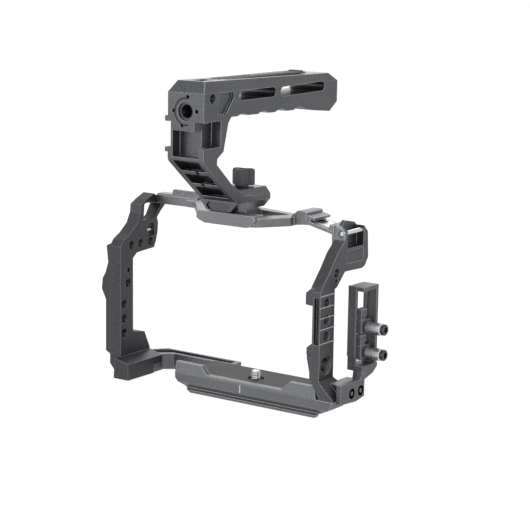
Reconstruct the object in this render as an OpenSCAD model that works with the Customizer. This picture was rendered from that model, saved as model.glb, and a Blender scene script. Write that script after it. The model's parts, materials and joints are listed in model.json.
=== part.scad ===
// Camera cage with dovetail base, top handle on a rail, and a cable clamp on the port side.
// X runs to the port side, Y runs away from the lens, Z is up. Millimetres.
// The origin is the axis of the camera screw, at the seat that the camera stands on.

/* [Cage] */
// Height of the top face of the cage above the camera seat
cage_h = 118.5; // [116:0.5:124]
// Distance from the camera screw to the front face
front_y = 20; // [19:0.5:22]
// Distance from the camera screw to the outer face of the port column
port_x = 65.5; // [64:0.5:70]
// Distance from the camera screw to the inner face of the grip plate
grip_x = 108; // [104:0.5:114]
// Greatest thickness of the port column along X
port_wall = 12.5; // [11.5:0.1:13.5]
// Thickness of the grip plate along X
grip_wall = 10; // [8:0.1:12]
// Reach of the strap block of the port column behind the camera screw
strap_back = 39.5; // [36:0.5:43]
// Reach of the top corner of the grip plate behind the camera screw
grip_back = 34.2; // [32:0.1:37]

/* [Base plate] */
// Reach of the base plate from the camera screw toward the grip
base_left = 56.5; // [52:0.5:60]
// How far the foot of the port column flares out past its outer face
foot_flare = 11; // [10:0.5:13]
// Reach of the base plate behind the camera screw
base_back = 24; // [23:0.5:27]
// Depth of the base plate below the camera seat
base_h = 15; // [14:0.5:18]
// Height of the raised front lips above the camera seat
lip_h = 7.6; // [5:0.1:10]
// Width of the dovetail foot of the base, front to back
dovetail_w = 38; // [36:0.5:39]
// Thickness of the rubber seat pad
pad_t = 1.5; // [1:0.1:2]
// Length of camera screw thread above the seat
screw_len = 5.6; // [4.5:0.1:6.5]

/* [Rail and handle] */
// Greatest width of the dovetail rail
rail_w = 21.2; // [19:0.1:22]
// Length of the dovetail rail
rail_len = 43; // [40:0.5:50]
// Width of the handle
handle_w = 30; // [29:0.5:33]
// Height of the flat top of the handle above the rail seat
handle_h = 92; // [88:0.5:100]
// Reach of the grip of the handle behind the camera screw
handle_back = 106; // [98:1:120]
// Reach of the head of the handle in front of the camera screw
handle_front = 57; // [54:0.5:60]
// Length of the wing knob along its axis
knob_h = 12.5; // [10:0.5:15]
// Radius of the wing knob over its lobes
knob_r = 9; // [7.5:0.1:9.5]

/* [Cable clamp] */
// Height of the top of the cable clamp above the camera seat
clamp_top = 73.5; // [72:0.5:80]
// Width of the cable clamp, front to back
clamp_w = 19.2; // [18.8:0.1:21]
// Thickness of the side plates of the cable clamp
clamp_wall = 2.5; // [2:0.1:2.7]
// Length of the knurled thumb screw heads
thumb_len = 13.7; // [10:0.1:18]
// Radius of the knurled thumb screw heads
thumb_r = 4.5; // [3.5:0.1:4.8]

/* [Hidden] */
$fn = 48;

// Shared clearances and overruns
over = 1;
run_gap = 0.3;
fit_gap = 0.1;
// Sizes of the common threads: radius of the drilled hole and of its countersink
quarter_r = 3.175;
three_eighth_r = 4.76;
sink_w = 0.5;
// Small cap screws that hold the frame together
cap_r = 2.4;
cap_h = 2.4;
cap_shank_r = 1.5;
cap_hex_r = 1.3;
cap_hex_deep = 1.4;

// An outline given in shares: x below zero is a share of left, above of right, and so on for z
function spread(shares, left, right, down, up) =
    [for (p = shares) [p[0] * (p[0] < 0 ? left : right), p[1] * (p[1] < 0 ? down : up)]];

// Plates that stand across X, across Y and lie flat
module plate_x(x0, thick, outline)
    translate([x0, 0, 0]) rotate([90, 0, 90]) linear_extrude(thick) polygon(outline);
module plate_y(y0, thick, outline)
    translate([0, y0 + thick, 0]) rotate([90, 0, 0]) linear_extrude(thick) polygon(outline);
module plate_z(z0, thick, outline)
    translate([0, 0, z0]) linear_extrude(thick) polygon(outline);
// A box between two corners
module block(low, high) translate(low) cube(high - low);
// Round bars between two places along one axis
module rod_x(x0, x1, y, z, r) translate([x0, y, z]) rotate([0, 90, 0]) cylinder(h = x1 - x0, r = r);
module rod_y(y0, y1, x, z, r) translate([x, y0, z]) rotate([-90, 0, 0]) cylinder(h = y1 - y0, r = r);
module rod_z(z0, z1, x, y, r) translate([x, y, z0]) cylinder(h = z1 - z0, r = r);
// A countersunk hole that opens toward +X at x1
module hole_x(x0, x1, y, z, r) {
    rod_x(x0, x1 + over, y, z, r);
    translate([x1 - sink_w, y, z]) rotate([0, 90, 0])
        cylinder(h = sink_w + over, r1 = r, r2 = r + sink_w + over);
}
// A slot across X with round ends, between two places in Y and Z
module slot_x(x0, x1, y0, z0, y1, z1, r) hull() {
    rod_x(x0, x1, y0, z0, r, $fn = 32);
    rod_x(x0, x1, y1, z1, r, $fn = 32);
}
// A cap screw with its head toward -Z, head face at the origin, hexagon socket in the head
module cap_screw(shank) difference() {
    union() {
        cylinder(h = cap_h, r = cap_r);
        translate([0, 0, cap_h]) cylinder(h = shank, r = cap_shank_r);
    }
    translate([0, 0, -over]) cylinder(h = cap_hex_deep + over, r = cap_hex_r, $fn = 6);
}
// The hole that such a screw sits in
module cap_seat(shank) {
    translate([0, 0, -over]) cylinder(h = cap_h + over, r = cap_r + fit_gap);
    cylinder(h = cap_h + shank + fit_gap, r = cap_shank_r);
}

// Base plate
base_right = port_x + foot_flare;
step_drop = 0.9;
base_edge_h = 7.2;
dovetail_waist = 1.6;
dovetail_front = -16;
seat_front_y = 15;
lip_lean = 1.6;
index_w = 0.8;
index_deep = 0.25;
bore_gap = 0.2;
screw_head_r = 8.3;
screw_head_h = 4;
screw_neck_r = 2.4;
screw_neck_top = -0.2;
ring_t = 1.1;
ring_r = 5;
pad_hole_r = 6;
screw_slot_w = 1.6;
screw_slot_deep = 1.5;
tripod_x = 30;
tripod_deep = 9;
base_front_shares = [[-1, -0.3], [-1, 0.93], [-0.605, 0.92], [-0.51, 0.14], [0.45, 0.14],
    [0.535, 1], [0.775, 1], [0.805, 0.72], [0.825, -0.06], [1, -0.06], [0.967, -0.46], [0.8, -0.87],
    [0.785, -1], [-0.81, -1], [-0.86, -0.89], [-0.957, -0.47]];
base_plan_shares = [[-1, -1], [1, -1], [1, -0.1], [0.863, -0.1], [0.863, -0.6], [0.654, -0.6],
    [0.654, -0.2], [0.47, 1], [-0.94, 1], [-0.94, -0.6], [-1, -0.6]];

module base_profile() {
    dovetail_back = dovetail_front + dovetail_w;
    outline = [[-front_y, -step_drop], [-front_y, -base_edge_h],
        [dovetail_front, -base_h * 2 / 3], [dovetail_front + dovetail_waist, -base_h * 0.775],
        [dovetail_front, -base_h * 0.88], [dovetail_front, -base_h], [dovetail_back, -base_h],
        [dovetail_back, -base_h * 0.88], [dovetail_back - dovetail_waist, -base_h * 0.775],
        [dovetail_back, -base_h * 2 / 3], [base_back, -base_h * 0.6], [base_back, -pad_t],
        [-seat_front_y, -pad_t], [-seat_front_y, lip_h], [lip_lean - front_y, lip_h]];
    plate_x(-base_left, base_left + base_right, outline);
}

module base_plate() color("#6d6f72") difference() {
    intersection() {
        base_profile();
        plate_y(-front_y, front_y + base_back,
            spread(base_front_shares, base_left, base_right, base_h, lip_h));
        plate_z(-base_h, base_h + lip_h, spread(base_plan_shares, base_left, base_right, front_y, base_back));
    }
    // captive camera screw: ring seat, bore and head pocket
    rod_z(-pad_t - ring_t, over, 0, 0, ring_r + fit_gap);
    rod_z(-base_h, over, 0, 0, quarter_r + bore_gap);
    rod_z(-base_h - over, -base_h + screw_head_h + over, 0, 0, screw_head_r + run_gap);
    // tripod threads in the underside
    rod_z(-base_h - over, -base_h + tripod_deep, tripod_x, 0, quarter_r);
    rod_z(-base_h - over, -base_h + tripod_deep, -tripod_x, 0, three_eighth_r);
    // index line on the front
    block([0, -front_y - over, -base_edge_h + index_w],
        [index_w, -front_y + index_deep, -step_drop - index_w / 4]);
    // screws into the port column and the lower arm
    for (y_share = column_screw_shares)
        translate([port_x + foot_flare / 2, y_share * front_y, -base_edge_h]) cap_seat(base_edge_h);
    for (x_share = arm_screw_shares)
        rod_y(base_back - arm_screw_len, base_back + over, x_share * base_left, arm_screw_z_share * base_h,
            cap_shank_r);
}

module base_pad() color("#8a8c8f") {
    pad_shares = [[-0.92, -0.6], [0.35, -0.6], [0.35, -0.48], [0.38, -0.48], [0.38, -0.6], [0.588, -0.6],
        [0.588, -0.2], [0.44, 0.916], [-0.92, 0.916]];
    difference() {
        plate_z(-pad_t, pad_t, spread(pad_shares, base_left, base_right, seat_front_y + front_y / 2,
            base_back));
        rod_z(-pad_t - over, over, 0, 0, pad_hole_r);
    }
}

// Screws that hold the frame together
column_screw_shares = [-0.8, -0.3];
column_screw_shank = 9;
arm_screw_shares = [-0.88, -0.72];
arm_screw_len = 7.5;
arm_screw_z_share = -0.36;
frame_top_screw_shank = 10;
foot_screw_y_shares = [0.26, 0.42];

module camera_screw() color("#d9dadb") difference() {
    union() {
        rod_z(-base_h + over / 2, -base_h + screw_head_h, 0, 0, screw_head_r);
        rod_z(-base_h + screw_head_h, -pad_t - ring_t - fit_gap, 0, 0, quarter_r);
        rod_z(-pad_t - ring_t - fit_gap, screw_neck_top, 0, 0, screw_neck_r);
        rod_z(screw_neck_top, screw_len - sink_w, 0, 0, quarter_r);
        translate([0, 0, screw_len - sink_w]) cylinder(h = sink_w, r1 = quarter_r, r2 = quarter_r - sink_w);
    }
    block([-screw_head_r - over, -screw_slot_w / 2, -base_h - over],
        [screw_head_r + over, screw_slot_w / 2, -base_h + screw_slot_deep]);
}

module screw_retainer() color("#2b2c2e") difference() {
    rod_z(-pad_t - ring_t, -pad_t, 0, 0, ring_r);
    rod_z(-base_h, over, 0, 0, screw_neck_r + fit_gap);
    // gap of the spring ring
    block([0, -screw_slot_w / 2, -base_h], [ring_r + over, screw_slot_w / 2, over]);
}

// Port column
insert_low = 28;
insert_high = 74.7;
insert_depth_share = 0.48;
insert_front_gap = 1;
insert_back_y_share = -0.16;
port_inner_share = 0.69;
port_low_share = 0.82;
port_hole_y_share = -0.58;
port_hole_low = 41.8;
hole_pitch = 11.35;
port_hole_count = 3;
big_hole_z = 22;
big_recess_r = 6.6;
big_recess_deep = 1.2;
port_small_holes = [[-0.37, 91.3], [-0.02, 78]];
groove_x_shares = [-0.4, -0.08];
groove_low = 37;
groove_high = 69;
groove_deep = 3;
mark_w = 0.5;
mark_deep = 0.3;
mark_heights = [69.9, 62, 54.8, 47, 37.2];
strap_wall = 2.6;
strap_drop = 20;
strap_low = cage_h - strap_drop;
strap_rim = 3.5;
strap_front = 12;
strap_end = 6.5;
strap_pin_r = 1.6;
strap_pin_drop = 9.5;
strap_pin_z = cage_h - strap_pin_drop;
strap_pin_x_share = 0.17;
panel_low_drop = 30.5;
panel_high_drop = 21.8;
panel_low = cage_h - panel_low_drop;
panel_high = cage_h - panel_high_drop;
panel_deep = 0.5;
lug_right_share = 1.04;
lug_back = 14;
lug_top = 9;
port_side_shares = [[-1, -0.06], [-1, 0.616], [-0.865, 0.647], [-0.4, 0.733], [0.008, 0.82],
    [0.2, 0.87], [0.24, 0.895], [0.28, 0.93], [0.456, 0.985], [0.76, 0.965], [0.86, 0.94], [0.967, 0.905],
    [1, 0.755], [0.9, 0.707], [0.8, 0.695], [0.248, 0.701], [0.003, 0.624], [-0.125, 0.616],
    [-0.11, 0.105], [0.14, 0.031], [0.14, -0.06]];
port_foot_shares = [[0.1, 0], [-0.552, 0.104], [-0.616, 0.114], [-0.632, 0.155]];
port_flare_shares = [[0, 0.105], [0.527, 0.055], [1, 0.017]];

// A point beside the port column: x in shares of its wall inward or of its flare outward
function port_pt(p) =
    [port_x + p[0] * (p[0] > 0 ? foot_flare : port_wall), p[1] * (cage_h + step_drop) - step_drop];
function insert_x() = port_x - insert_depth_share * port_wall;

module port_column() color("#4e5053") difference() {
    union() {
        port_lug();
        intersection() {
            plate_x(port_x - port_wall, port_wall + foot_flare + over,
                spread(port_side_shares, front_y, strap_back, base_h, cage_h));
            plate_y(-front_y, front_y + strap_back, concat(
                [for (p = port_foot_shares) port_pt(p)],
                [[port_x - port_low_share * port_wall, insert_low], [insert_x(), insert_low],
                [insert_x(), insert_high], [port_x - port_inner_share * port_wall, insert_high],
                [port_x - port_inner_share * port_wall, cage_h], [port_x, cage_h]],
                [for (p = port_flare_shares) port_pt(p)],
                [[port_x + foot_flare, -step_drop]]));
        }
    }
    // blind threads for the cable clamp
    for (p = lug_screw_places)
        rod_x(lug_x() + lug_plate - lug_screw_head - lug_screw_shank - fit_gap, port_x + 2 * foot_flare,
            p[0], p[1],
            lug_screw_shank_r);
    // tapped holes in the outer face
    for (i = [0 : port_hole_count - 1])
        hole_x(insert_x() - over, port_x, port_hole_y_share * front_y, port_hole_low + i * hole_pitch,
            quarter_r);
    rod_x(port_x - port_wall, port_x + over, port_hole_y_share * front_y, big_hole_z, three_eighth_r);
    rod_x(port_x - big_recess_deep, port_x + over, port_hole_y_share * front_y, big_hole_z, big_recess_r);
    hole_x(port_x - port_wall, port_x, 0, panel_low - 2 * cap_r, quarter_r);
    for (p = port_small_holes)
        hole_x(port_x - port_wall, port_x, p[0] * front_y, p[1], cap_shank_r);
    // long groove in the front face
    block([port_x + groove_x_shares[0] * port_wall, -front_y - over, groove_low],
        [port_x + groove_x_shares[1] * port_wall, -front_y + groove_deep, groove_high]);
    // engraved lines across the outer face
    for (z = mark_heights)
        block([port_x - mark_deep, -front_y - over, z], [port_x + over, over, z + mark_w]);
    // strap opening behind the pin, and the sunk panel under it
    block([port_x - port_inner_share * port_wall + strap_wall, strap_front, strap_low],
        [port_x + over, strap_back - strap_end, cage_h + over]);
    block([port_x - panel_deep, strap_front, panel_low], [port_x + over, strap_back - strap_end, panel_high]);
    rod_y(strap_front - strap_rim, strap_back - strap_end + strap_rim,
        port_x - strap_pin_x_share * port_wall, strap_pin_z, strap_pin_r);
    // screws: base plate from below, top bar and insert from the side
    for (y_share = column_screw_shares)
        rod_z(-base_edge_h, -base_edge_h + cap_h + column_screw_shank + fit_gap, port_x + foot_flare / 2,
            y_share * front_y, cap_shank_r);
    for (z_share = insert_screw_shares)
        rod_x(insert_x() - over, insert_x() + insert_screw_grip, insert_screw_y_share * front_y,
            insert_low + z_share * (insert_high - insert_low), cap_shank_r);
}

// The lug behind the foot of the column that the cable clamp bolts to
module port_lug() {
    right = port_x + lug_right_share * foot_flare;
    block([port_x + foot_flare / 10, -front_y / 2, -step_drop], [right, lug_back, lug_top]);
}

insert_screw_shares = [0.08, 0.9];
insert_screw_y_share = -0.62;
insert_screw_grip = 3.4;
insert_shares = [[0, 0], [-0.7, 0], [-0.78, 0.04], [-0.78, 0.13], [-0.15, 0.2], [-0.15, 0.75],
    [-1, 0.76], [-1, 0.93], [-0.4, 1], [0, 1]];
module port_insert() color("#3c3d40") difference() {
    plate_y(-front_y + insert_front_gap, front_y * (1 + insert_back_y_share) - insert_front_gap,
        [for (p = insert_shares) [insert_x() + p[0] * (1 - insert_depth_share) * port_wall,
            insert_low + p[1] * (insert_high - insert_low)]]);
    for (z_share = insert_screw_shares)
        translate([port_x - port_wall + over, insert_screw_y_share * front_y,
            insert_low + z_share * (insert_high - insert_low)]) rotate([0, 90, 0]) {
            cap_seat(port_wall);
            translate([0, 0, -port_wall]) cylinder(h = port_wall, r = cap_r + fit_gap);
        }
}

module insert_screws() color("#c9cacc")
    for (z_share = insert_screw_shares)
        translate([port_x - port_wall + over, insert_screw_y_share * front_y,
            insert_low + z_share * (insert_high - insert_low)]) rotate([0, 90, 0])
            cap_screw((1 - insert_depth_share) * port_wall - over - cap_h + insert_screw_grip);

module port_strap_pin() color("#d0d1d3")
    rod_y(strap_front - strap_rim, strap_back - strap_end + strap_rim,
        port_x - strap_pin_x_share * port_wall, strap_pin_z, strap_pin_r);

// Top bar: front plate, rear link, rail pedestal and the arm with the cold shoe
plate_h = 8.5;
plate_left = 39;
plate_right = 10.8;
plate_deep = 12;
link_h = 5;
arm_h = 6;
split_x_share = 0.66;
rear_y = 23;
rear_t = 9;
handle_x = -20.5;
rail_neck_w = 15.6;
pedestal_front = 2;
pedestal_lean = 8;
shoe_w = 18.6;
shoe_slot = 12.6;
shoe_h = 2.1;
shoe_lip = 1.8;
shoe_wall = 3;
shoe_floor = 2.4;
shoe_tilt = 13;
shoe_y = 8;
shoe_len = 20;
shoe_x_share = 0.71;
shoe_drop = 6.2;
front_plate_shares = [[-0.98, 1], [0.87, 1], [1, 0.59], [0.39, 0], [-0.82, 0], [-1, 0.36]];
left_arm_shares = [[-0.35, -0.93], [-0.66, 0.9], [-0.66, 1.39], [-0.58, 1.39], [-0.27, -0.5]];
rear_link_shares = [[-0.66, 1], [-0.66, 1.39], [-0.2, 1.39], [0.6, 1], [0.6, 0.74], [-0.2, 1], [-0.56, 1]];
right_arm_shares = [[0.05, -0.9], [0.13, -0.9], [0.18, -0.72], [0.37, 0.17], [0.37, 1.1], [0.24, 1.1],
    [0.24, 0.5],
    [0.02, -0.5]];
shoe_arm_shares = [[0.3, 0.02], [0.3, 0.5], [0.34, 0.85], [0.41, 1.3], [0.5, 1.32], [0.53, 1.25], [0.53, 0.6],
    [0.6, 0.36], [0.6, 0.27], [0.47, 0.2]];

module top_bar() color("#8f9194") difference() {
    low = cage_h - plate_h;
    wall_x = port_x - port_inner_share * port_wall;
    union() {
        plate_y(-front_y, plate_deep,
            [for (p = front_plate_shares) [p[0] * (p[0] < 0 ? plate_left : plate_right),
                low + p[1] * plate_h]]);
        plate_z(low + over, arm_h, [for (p = left_arm_shares) [p[0] * grip_x,
            p[1] * (p[1] < 0 ? front_y : rear_y)]]);
        plate_z(low + over, link_h, [for (p = rear_link_shares) [p[0] * (p[0] < 0 ? grip_x : port_x / 2),
            p[1] * rear_y]]);
        plate_z(low + over / 2, arm_h, [for (p = right_arm_shares) [p[0] * port_x,
            p[1] * (p[1] < 0 ? front_y : rear_y)]]);
        plate_y(shoe_y, shoe_len, [for (p = shoe_arm_shares) [p[0] * port_x, low + p[1] * plate_h]]);
        plate_x(handle_x - rail_neck_w / 2, rail_neck_w, [[pedestal_front, cage_h],
            [pedestal_front + rail_neck_w, cage_h], [rear_y + pedestal_lean, low + over],
            [pedestal_front + pedestal_lean / 2, low + over]]);
        shoe_channel(shoe_y, shoe_len);
    }
    // the channel of the cold shoe, open at the back
    shoe_frame() {
        block([-shoe_w / 2, shoe_y - over, 0], [shoe_w / 2, shoe_y + shoe_len + over, shoe_h]);
        block([-shoe_slot / 2, shoe_y - over, 0], [shoe_slot / 2, shoe_y + shoe_len + over, cage_h]);
    }
    block([wall_x, -front_y, 0], [2 * port_x, 2 * strap_back, 2 * cage_h]);
    // rail screws and the catch pin of the rail
    for (y_share = rail_screw_shares)
        rod_z(cage_h + rail_h - rail_screw_h - rail_screw_shank, cage_h + over, handle_x,
            y_share * rail_len, cap_shank_r);
    rod_z(cage_h - catch_deep, cage_h + over, handle_x, catch_y, catch_r + catch_collar + fit_gap);
    // screws from the grip side bar
    rod_x(-split_x_share * grip_x - over, -split_x_share * grip_x + frame_top_screw_shank,
        rear_y + cap_r + over,
        low + over + link_h / 2, cap_shank_r);
}

module shoe_frame() translate([shoe_x_share * port_x, 0, cage_h - shoe_drop]) rotate([0, shoe_tilt, 0])
    children();
module shoe_channel(y0, len) shoe_frame() block([-shoe_w / 2 - shoe_wall, y0, -shoe_floor],
    [shoe_w / 2 + shoe_wall, y0 + len, shoe_h + shoe_lip]);

module shoe_spring() color("#c4c6c8") shoe_frame()
    translate([0, shoe_y + shoe_wall, spring_rise]) linear_extrude(spring_t) polygon(
        [for (p = spring_shares) [p[0] * shoe_w / 2, p[1] * (shoe_len - 2 * shoe_wall)]]);
spring_t = 0.4;
spring_rise = 0;
spring_shares = [[-0.9, 0], [0.9, 0], [0.9, 0.15], [0.3, 0.25], [0.3, 0.75], [0.9, 0.85], [0.9, 1], [-0.9, 1],
    [-0.9, 0.85], [-0.3, 0.75], [-0.3, 0.25], [-0.9, 0.15]];

// Grip side bar of the top
rim_h = 3;
rim_x_shares = [0.68, 0.9];
nose_len = 8.4;
nose_h = 5;
module rear_bar() color("#77797c") difference() {
    low = cage_h - plate_h + over;
    union() {
        plate_x(-grip_x, grip_x * (1 - split_x_share), [[rear_y, low], [rear_y, cage_h - over],
            [rear_y + over, cage_h], [rear_y + rear_t, cage_h], [rear_y + rear_t, low]]);
        plate_x(-rim_x_shares[1] * grip_x, (rim_x_shares[1] - rim_x_shares[0]) * grip_x,
            [[rear_y + rear_t / 2, cage_h], [rear_y + rear_t * 2 / 3, cage_h + rim_h],
            [rear_y + rear_t, cage_h + rim_h], [rear_y + rear_t, cage_h]]);
        block([-split_x_share * grip_x - nose_len, rear_y - over, low],
            [-split_x_share * grip_x, rear_y, low + nose_h]);
    }
    rod_x(-grip_x - over, -grip_x + frame_top_screw_shank, rear_y + cap_r + over, low + cap_r, cap_shank_r);
    rod_x(-split_x_share * grip_x - nose_len, -split_x_share * grip_x + over, rear_y + cap_r + over,
        low + link_h / 2, cap_shank_r);
}

// Grip plate with its foot
grip_side_shares = [[-0.925, -0.8], [-0.925, 0.706], [-0.735, 0.745], [-0.395, 0.775], [0.003, 0.828],
    [0.12, 0.892], [0.137, 0.942], [0.34, 0.972], [0.58, 1], [1, 0.928], [0.825, 0.887], [0.687, 0.847],
    [0.722, 0.814], [0.708, 0.758], [0.658, 0.703], [0.588, 0.661], [0.006, 0.65], [-0.22, 0.62],
    [-0.205, 0.16], [0.272, 0.138], [0.447, 0.033], [0.468, 0], [0.468, -0.8]];
grip_window_shares = [[0.254, 0.944], [0.339, 0.95], [0.825, 0.934], [0.652, 0.855], [0.515, 0.835],
    [0.222, 0.845]];
grip_holes = [[-0.28, 83.2], [0.14, 83.2], [0.48, 83.2], [-0.475, 55.7], [-0.7, 18.8], [-0.7, 29.75],
    [-0.7, 40.7]];
grip_small_hole = [-0.45, 65.3];
grip_slot_shares = [[0.36, 0.735], [0.6, 0.735], [0.6, 0.82], [0.36, 0.82]];
grip_pin_drop = 26.8;
grip_pin_z = cage_h - grip_pin_drop;
foot_drop = 13;
foot_in = 11.5;
foot_top = 1;
foot_top_drop = 1;
foot_chamfer = 9;
lap_y = 6;
lap_drop = 7;
ledge_front = 4;
grip_foot_back_share = 0.468;

module grip_plate() color("#5b5d60") difference() {
    union() {
        intersection() {
            plate_x(-grip_x - grip_wall, grip_wall,
                spread(grip_side_shares, front_y, grip_back, base_h, cage_h));
            plate_y(-front_y - over, front_y + grip_back + 2 * over,
                [[-grip_x, -foot_drop], [-grip_x, cage_h],
                [-grip_x - grip_wall, cage_h], [-grip_x - grip_wall, -foot_drop + foot_chamfer],
                [-grip_x - grip_wall + foot_chamfer - over, -foot_drop]]);
        }
        grip_foot();
    }
    for (p = grip_holes)
        hole_x(-grip_x - grip_wall - over, -grip_x, p[0] * (p[0] < 0 ? front_y : grip_back), p[1], quarter_r);
    hole_x(-grip_x - grip_wall - over, -grip_x, grip_small_hole[0] * front_y, grip_small_hole[1],
        cap_shank_r);
    plate_x(-grip_x - grip_wall - over, grip_wall + 2 * over,
        [for (p = grip_window_shares) [p[0] * grip_back, p[1] * cage_h]]);
    plate_x(-grip_x - grip_wall - over, grip_wall + 2 * over,
        [for (p = grip_slot_shares) [p[0] * grip_back, p[1] * cage_h]]);
    rod_y(grip_pin_y0(), grip_pin_y1(), -grip_x - grip_wall / 3, grip_pin_z, strap_pin_r);
    // screws into the top bar, and from below into the foot
    translate([-grip_x - grip_wall, rear_y + cap_r + over, cage_h - plate_h + over + cap_r])
        rotate([0, 90, 0])
        cap_seat(grip_wall);
    for (share = foot_screw_y_shares)
        rod_z(-foot_drop - over, -foot_top_drop, -grip_x, share * grip_back, cap_shank_r);
    // the arm laps under the back of the foot
    block([-grip_x - grip_wall - over, lap_y, -foot_drop - over],
        [-grip_x + foot_in + over, grip_foot_back_share * grip_back + over, -lap_drop]);
}
function grip_pin_y0() = grip_slot_shares[0][0] * grip_back - cap_r;
function grip_pin_y1() = grip_slot_shares[1][0] * grip_back + cap_r;

module grip_foot() {
    back = grip_foot_back_share * grip_back;
    plate_y(-front_y - ledge_front, front_y + ledge_front + back,
        [[-grip_x, foot_top + over], [-grip_x + foot_in, -foot_top_drop],
        [-grip_x + foot_in, -foot_drop], [-grip_x - grip_wall + foot_chamfer - over, -foot_drop],
        [-grip_x - over, foot_top + over]]);
}

module grip_strap_pin() color("#d0d1d3")
    rod_y(grip_pin_y0(), grip_pin_y1(), -grip_x - grip_wall / 3, grip_pin_z, strap_pin_r);

// Soft pad outside the grip plate
pad_bulge = 7.8;
pad_low = 3;
pad_high = 85;
pad_front_share = 0.925;
pad_back_share = -0.25;
grip_pad_shares = [[0, 0], [0.5, 0.025], [0.5, 0.49], [1, 0.585], [0.9, 0.68], [0.54, 0.737], [0.23, 0.83],
    [0.41, 0.98], [0, 1]];
module grip_pad() color("#303134")
    plate_y(-front_y * pad_front_share, front_y * (pad_front_share + pad_back_share),
        [for (p = grip_pad_shares) [-grip_x - grip_wall - p[0] * pad_bulge,
            pad_low + p[1] * (pad_high - pad_low)]]);

// Lower arm from the foot of the grip plate to the back of the base plate
arm_top = 1;
arm_back_share = 1.46;
arm_plan_shares = [[-1.111, 0.667], [-0.98, arm_back_share], [-0.35, arm_back_share], [-0.35, 1],
    [-0.85, 1], [-0.935, 0.667]];
arm_floor_share = 1 / 3;
arm_trough_shares = [1.09, 1.38];
arm_groove_shares = [[-1.08, 0.8], [-0.965, arm_trough_shares[1]], [-0.38, arm_trough_shares[1]],
    [-0.38, arm_trough_shares[0]], [-0.87, arm_trough_shares[0]], [-0.95, 0.8]];
arm_window_shares = [[0.84, 0.72], [0.68, 0.56]];
module lower_arm() color("#5f6164") difference() {
    union() {
        plate_z(-foot_drop, foot_drop - arm_top,
            [for (p = arm_plan_shares) [p[0] * grip_x, p[1] * base_back]]);
        block([-grip_x - foot_chamfer / 2, lap_y + fit_gap, -foot_drop],
            [-grip_x + foot_in - over, grip_foot_back_share * grip_back + over, -lap_drop - fit_gap]);
    }
    plate_z(-foot_drop * arm_floor_share, foot_drop,
        [for (p = arm_groove_shares) [p[0] * grip_x, p[1] * base_back]]);
    for (w = arm_window_shares)
        block([-w[0] * grip_x, arm_trough_shares[0] * base_back, -foot_drop - over],
            [-w[1] * grip_x, arm_trough_shares[1] * base_back, 0]);
    for (share = foot_screw_y_shares)
        translate([-grip_x, share * grip_back, -foot_drop]) cap_seat(foot_drop);
    for (x_share = arm_screw_shares)
        translate([x_share * base_left, arm_back_share * base_back, arm_screw_z_share * base_h])
            rotate([90, 0, 0])
            cap_seat(base_back);
}

module frame_screws() color("#b9babd") {
    for (y_share = column_screw_shares)
        translate([port_x + foot_flare / 2, y_share * front_y, -base_edge_h]) cap_screw(column_screw_shank);
    for (x_share = arm_screw_shares)
        translate([x_share * base_left, arm_back_share * base_back, arm_screw_z_share * base_h])
            rotate([90, 0, 0])
            cap_screw((arm_back_share - 1) * base_back - cap_h + arm_screw_len - run_gap);
    for (share = foot_screw_y_shares)
        translate([-grip_x, share * grip_back, -foot_drop])
            cap_screw(foot_drop - cap_h - over - foot_top_drop);
    translate([-grip_x - grip_wall, rear_y + cap_r + over, cage_h - plate_h + over + cap_r])
        rotate([0, 90, 0])
        cap_screw(grip_wall - cap_h + frame_top_screw_shank - over);
    rod_x(-split_x_share * grip_x - nose_len + over, -split_x_share * grip_x + nose_len,
        rear_y + cap_r + over,
        cage_h - plate_h + over + link_h / 2, cap_shank_r);
}

// Dovetail rail on top of the cage, with its catch pin
rail_h = 6.2;
rail_neck_h = 1.5;
rail_edge_h = 4.1;
rail_top_w = 17.2;
rail_front = -18;
rail_screw_shares = [0.12, 0.32];
rail_screw_r = 3;
rail_screw_h = 1.8;
rail_screw_shank = 9;
catch_y = -12;
catch_r = 1.5;
catch_collar = 0.6;
catch_collar_h = 1;
catch_rise = 1.2;
catch_len = 9;
catch_deep = 6;
spring_wall = 0.5;

// Outline of the rail, grown by g all round, with its foot at z0
function rail_outline(g, z0) = [
    [-rail_neck_w / 2 - g, z0], [-rail_neck_w / 2 - g, rail_neck_h - g], [-rail_w / 2 - g, rail_edge_h],
    [-rail_top_w / 2 - g, rail_h + g], [rail_top_w / 2 + g, rail_h + g], [rail_w / 2 + g, rail_edge_h],
    [rail_neck_w / 2 + g, rail_neck_h - g], [rail_neck_w / 2 + g, z0]];

module on_rail() translate([handle_x, 0, cage_h]) children();

module handle_rail() color("#55575a") difference() {
    on_rail() plate_y(rail_front, rail_len, rail_outline(0, 0));
    for (y_share = rail_screw_shares) {
        rod_z(cage_h - over, cage_h + rail_h + over, handle_x, y_share * rail_len, cap_shank_r);
        rod_z(cage_h + rail_h - rail_screw_h, cage_h + rail_h + over, handle_x, y_share * rail_len,
            rail_screw_r + fit_gap);
    }
    rod_z(cage_h - over, cage_h + rail_h + over, handle_x, catch_y, catch_r + fit_gap);
    rod_z(cage_h - over, cage_h + catch_len / 3, handle_x, catch_y, catch_r + catch_collar + fit_gap);
}

module rail_screws() color("#c9cacc")
    for (y_share = rail_screw_shares) difference() {
        union() {
            rod_z(cage_h + rail_h - rail_screw_h, cage_h + rail_h - fit_gap, handle_x, y_share * rail_len,
                rail_screw_r);
            rod_z(cage_h + rail_h - rail_screw_h - rail_screw_shank, cage_h + rail_h - rail_screw_h,
                handle_x, y_share * rail_len, cap_shank_r);
        }
        rod_z(cage_h + rail_h - cap_hex_deep, cage_h + rail_h + over, handle_x, y_share * rail_len,
            cap_hex_r, $fn = 6);
    }

module catch_pin() color("#c9cacc") {
    top = cage_h + rail_h + catch_rise;
    foot = cage_h + catch_len / 3 - catch_collar_h - fit_gap;
    rod_z(foot, top, handle_x, catch_y, catch_r);
    rod_z(foot, foot + catch_collar_h, handle_x, catch_y, catch_r + catch_collar);
}

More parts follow.
